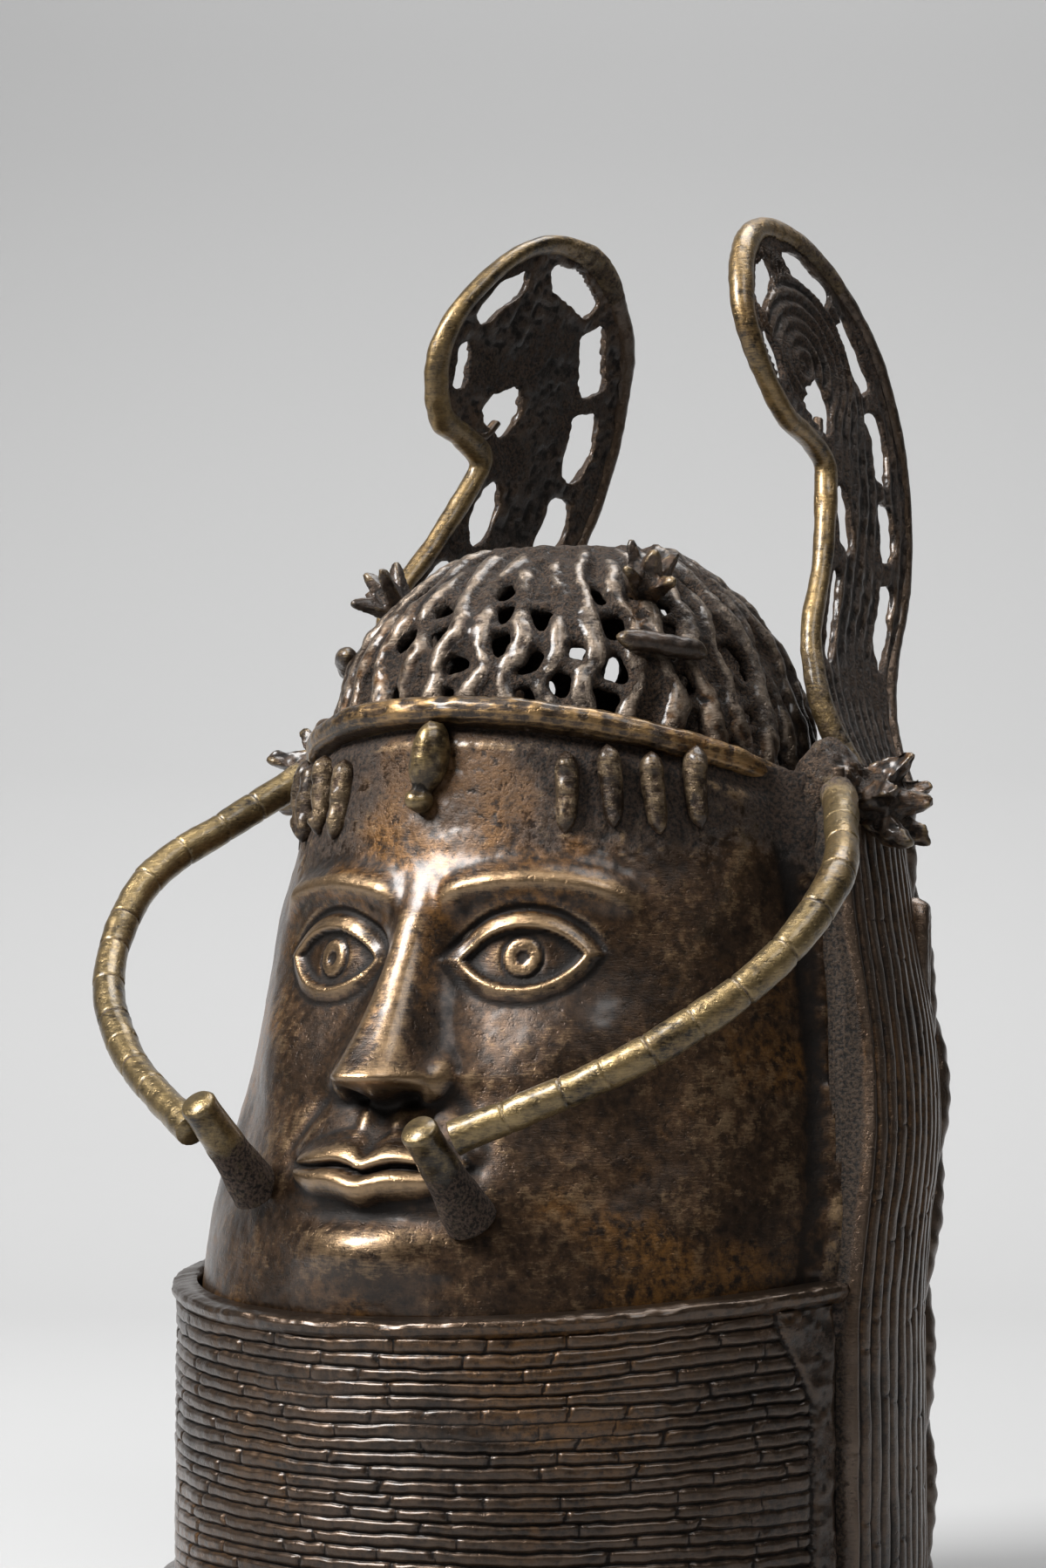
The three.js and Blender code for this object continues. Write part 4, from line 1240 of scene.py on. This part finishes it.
outline = np.column_stack([wing_outline, np.zeros(len(wing_outline))])
edge_path, along = curve_through(outline, 340)
share = np.linspace(0, 1, 340)
front_girth = front_rod_radius * (1 + 0.05 * np.sin(along / 13)) + 1.2 * (1 - ease(along, 0, 25))
front_girth = front_girth * (1 - 0.7 * ease(share, front_rod_share - 0.04, front_rod_share + 0.06))
thinning = ease(share, front_rod_share, front_rod_share + 0.15)
back_girth = back_rod_start + (back_rod_radius - back_rod_start) * thinning
on_front = share < front_rod_share + 0.06
on_back = share > front_rod_share - 0.05
hook = np.array([(36.0, 399.5, 0.0), (47.0, 396.5, 0.0), (55.0, 398.0, 0.0), (58.0, 403.0, 0.0)])
hook_path, hook_along = curve_through(hook, 60)
front_earth = 0.6 * ease(share, 0.42, 0.56) + 0.45 * (1 - ease(share, 0.05, 0.16))
wing_rods = [
    ("front", edge_path[on_front], front_girth[on_front], front_earth[on_front], frame_finish),
    ("back", edge_path[on_back], back_girth[on_back], 0.3, wing_finish),
    ("hook", hook_path, 3.6 - 1.6 * hook_along / hook_along[-1], 0.0, wing_finish),
]

for name, seed in (("left", 131), ("right", 141)):
    plate = slotted_plate("wing_plate_" + name, wing_outline, wing_slots, wing_thickness)
    wing = melt(plate, 1.15, 2)
    points, normals = read_mesh(wing.data)
    depth, height = points[:, 0], points[:, 1]
    on_disc = 1 - ease(np.hypot(*((points[:, :2] - disc_middle) / disc_reach).T), 0.85, 1.0)
    rings = np.hypot((depth - arc_middle[0]) / 1.2, height - arc_middle[1])
    arcs = np.cos(rings * 2 * np.pi / arc_pitch)
    front = np.interp(height, *stem_front.T)
    back = np.interp(height, *stem_back.T)
    lines = np.cos((depth - front) / (back - front) * 2 * np.pi * line_count)
    outer = ease(normals[:, 2], 0.2, 0.7)
    relief = outer * (0.8 * on_disc * arcs + 0.45 * (1 - on_disc) * lines)
    rough = 1 - 0.45 * outer
    relief = relief + rough * waves(points, (0.6, 6, seed), (0.5, 2.6, seed + 1)) - 0.8
    points = points + normals * relief[:, None]
    turn_out(wing.data, wing_place(name, *points.T))
    cast_in(wing, wing_finish, 0.35 + 0.4 * ease(lumps(points, 15, seed + 2), -0.2, 0.6))

    layers = ((0.4, 8, seed + 3), (0.22, 3, seed + 4))
    for place, path, girth, earth, finish in wing_rods:
        loops = lumpy_tube(path, along_z, girth, wing_rod_sides, front_rod_radius, layers)
        rod = swept_piece(f"wing_{place}_rod_{name}", wing_place(name, *np.moveaxis(loops, -1, 0)))
        cast_in(rod, finish, np.repeat(np.broadcast_to(earth, len(path)), wing_rod_sides))

# Stage, camera and light
# A pale floor that curves up behind, seen through from its far side, and soft lamps in a dim grey
# sky that looks pale itself. The floor's grey carries painted light falloff: brightest where it
# starts to curve up behind, darker up the wall towards the top, and a little darker on the flat
# floor.
# The camera stands 1.2 m away, 35 degrees to the figure's left, level with the cheeks.
view_azimuth = np.radians(35.0)
view_distance = 1200.0
view_height = 217.0
view_aside = -7.1
picture_height = 1798
focal_pixels = 4200
horizon_below_middle = 226
floor_half_width = 4000
painted_falloff_length = 4.0

camera_data = bpy.data.cameras.new("view")
camera_data.lens = focal_pixels / picture_height * camera_data.sensor_width
camera = bpy.data.objects.new("view", camera_data)
bpy.context.scene.collection.objects.link(camera)
bpy.context.scene.camera = camera
away = np.array([np.sin(view_azimuth), -np.cos(view_azimuth)])
aside = np.array([np.cos(view_azimuth), np.sin(view_azimuth)])
spot = (away * view_distance + aside * view_aside) * 0.001
camera.location = (spot[0], spot[1], view_height * 0.001)
tilt = np.arctan(horizon_below_middle / focal_pixels)
camera.rotation_euler = (np.pi / 2 + tilt, 0, view_azimuth)

sweep = np.array([(-3000, 0), (1200, 0), (1700, 80), (2050, 400), (2200, 1000), (2200, 4500)])
points = np.array([[*(aside * step - away * depth), height] for depth, height in sweep
                   for step in (-floor_half_width, floor_half_width)])
quads = [[2 * row, 2 * row + 1, 2 * row + 3, 2 * row + 2] for row in range(len(sweep) - 1)]
floor = new_piece("pale_floor", points, quads)
paper = bpy.data.materials.new("pale_paper")
paper.use_nodes = True
nodes, links = paper.node_tree.nodes, paper.node_tree.links
shader = nodes["Principled BSDF"]
shader.inputs["Roughness"].default_value = 0.9
run = nodes.new("ShaderNodeVectorMath")
run.operation = "DOT_PRODUCT"
run.inputs[1].default_value = (-away[0] / painted_falloff_length, -away[1] / painted_falloff_length, 1 / painted_falloff_length)
links.new(nodes.new("ShaderNodeTexCoord").outputs["Object"], run.inputs[0])
# Painted light falloff: the floor's grey is set by how far back and how high each point lies.
painted_falloff = nodes.new("ShaderNodeValToRGB")
painted_falloff.color_ramp.elements.new(0.45)
painted_falloff.color_ramp.elements.new(0.6)
painted_falloff_greys = {0.1: 0.34, 0.45: 0.445, 0.6: 0.41, 0.82: 0.307}
for stop, (far, grey) in zip(painted_falloff.color_ramp.elements, painted_falloff_greys.items()):
    stop.position = far
    stop.color = (grey, grey, grey, 1)
links.new(run.outputs["Value"], painted_falloff.inputs["Fac"])
links.new(painted_falloff.outputs["Color"], shader.inputs["Base Color"])
facing = nodes.new("ShaderNodeNewGeometry").outputs["Backfacing"]
links.new(facing, shader.inputs["Alpha"])
floor.data.materials.append(paper)


def soft_lamp(name, azimuth, elevation, distance, size, power, aim=(0.0, 0.0, 0.25)):
    """A square lamp on a sphere round its aim, facing it."""
    lamp = bpy.data.lights.new(name, "AREA")
    lamp.size = size
    lamp.energy = power
    holder = bpy.data.objects.new(name, lamp)
    bpy.context.scene.collection.objects.link(holder)
    turn, climb = np.radians(azimuth), np.radians(elevation)
    offset = np.array([np.sin(turn) * np.cos(climb), -np.cos(turn) * np.cos(climb), np.sin(climb)])
    holder.location = (offset * distance + aim).tolist()
    holder.rotation_euler = (np.pi / 2 - climb, 0, turn)


backdrop = (-0.9, 1.6, 0.2)
soft_lamp("key_lamp", azimuth=-30, elevation=42, distance=1.9, size=0.8, power=84)
soft_lamp("side_lamp", azimuth=62, elevation=52, distance=2.0, size=0.8, power=13)
soft_lamp("top_lamp", azimuth=180, elevation=75, distance=2.2, size=1.2, power=16)
soft_lamp("backdrop_lamp", azimuth=50, elevation=60, distance=2.4, size=1.5, power=41, aim=backdrop)
sky = bpy.data.worlds.new("studio_sky")
sky.use_nodes = True
nodes, links = sky.node_tree.nodes, sky.node_tree.links
seen = nodes.new("ShaderNodeMapRange")
seen.inputs["To Min"].default_value = 0.06
seen.inputs["To Max"].default_value = 0.6
links.new(nodes.new("ShaderNodeLightPath").outputs["Is Camera Ray"], seen.inputs["Value"])
nodes["Background"].inputs["Color"].default_value = (0.8, 0.8, 0.8, 1)
links.new(seen.outputs["Result"], nodes["Background"].inputs["Strength"])
bpy.context.scene.world = sky
bpy.context.scene.view_settings.view_transform = "Standard"
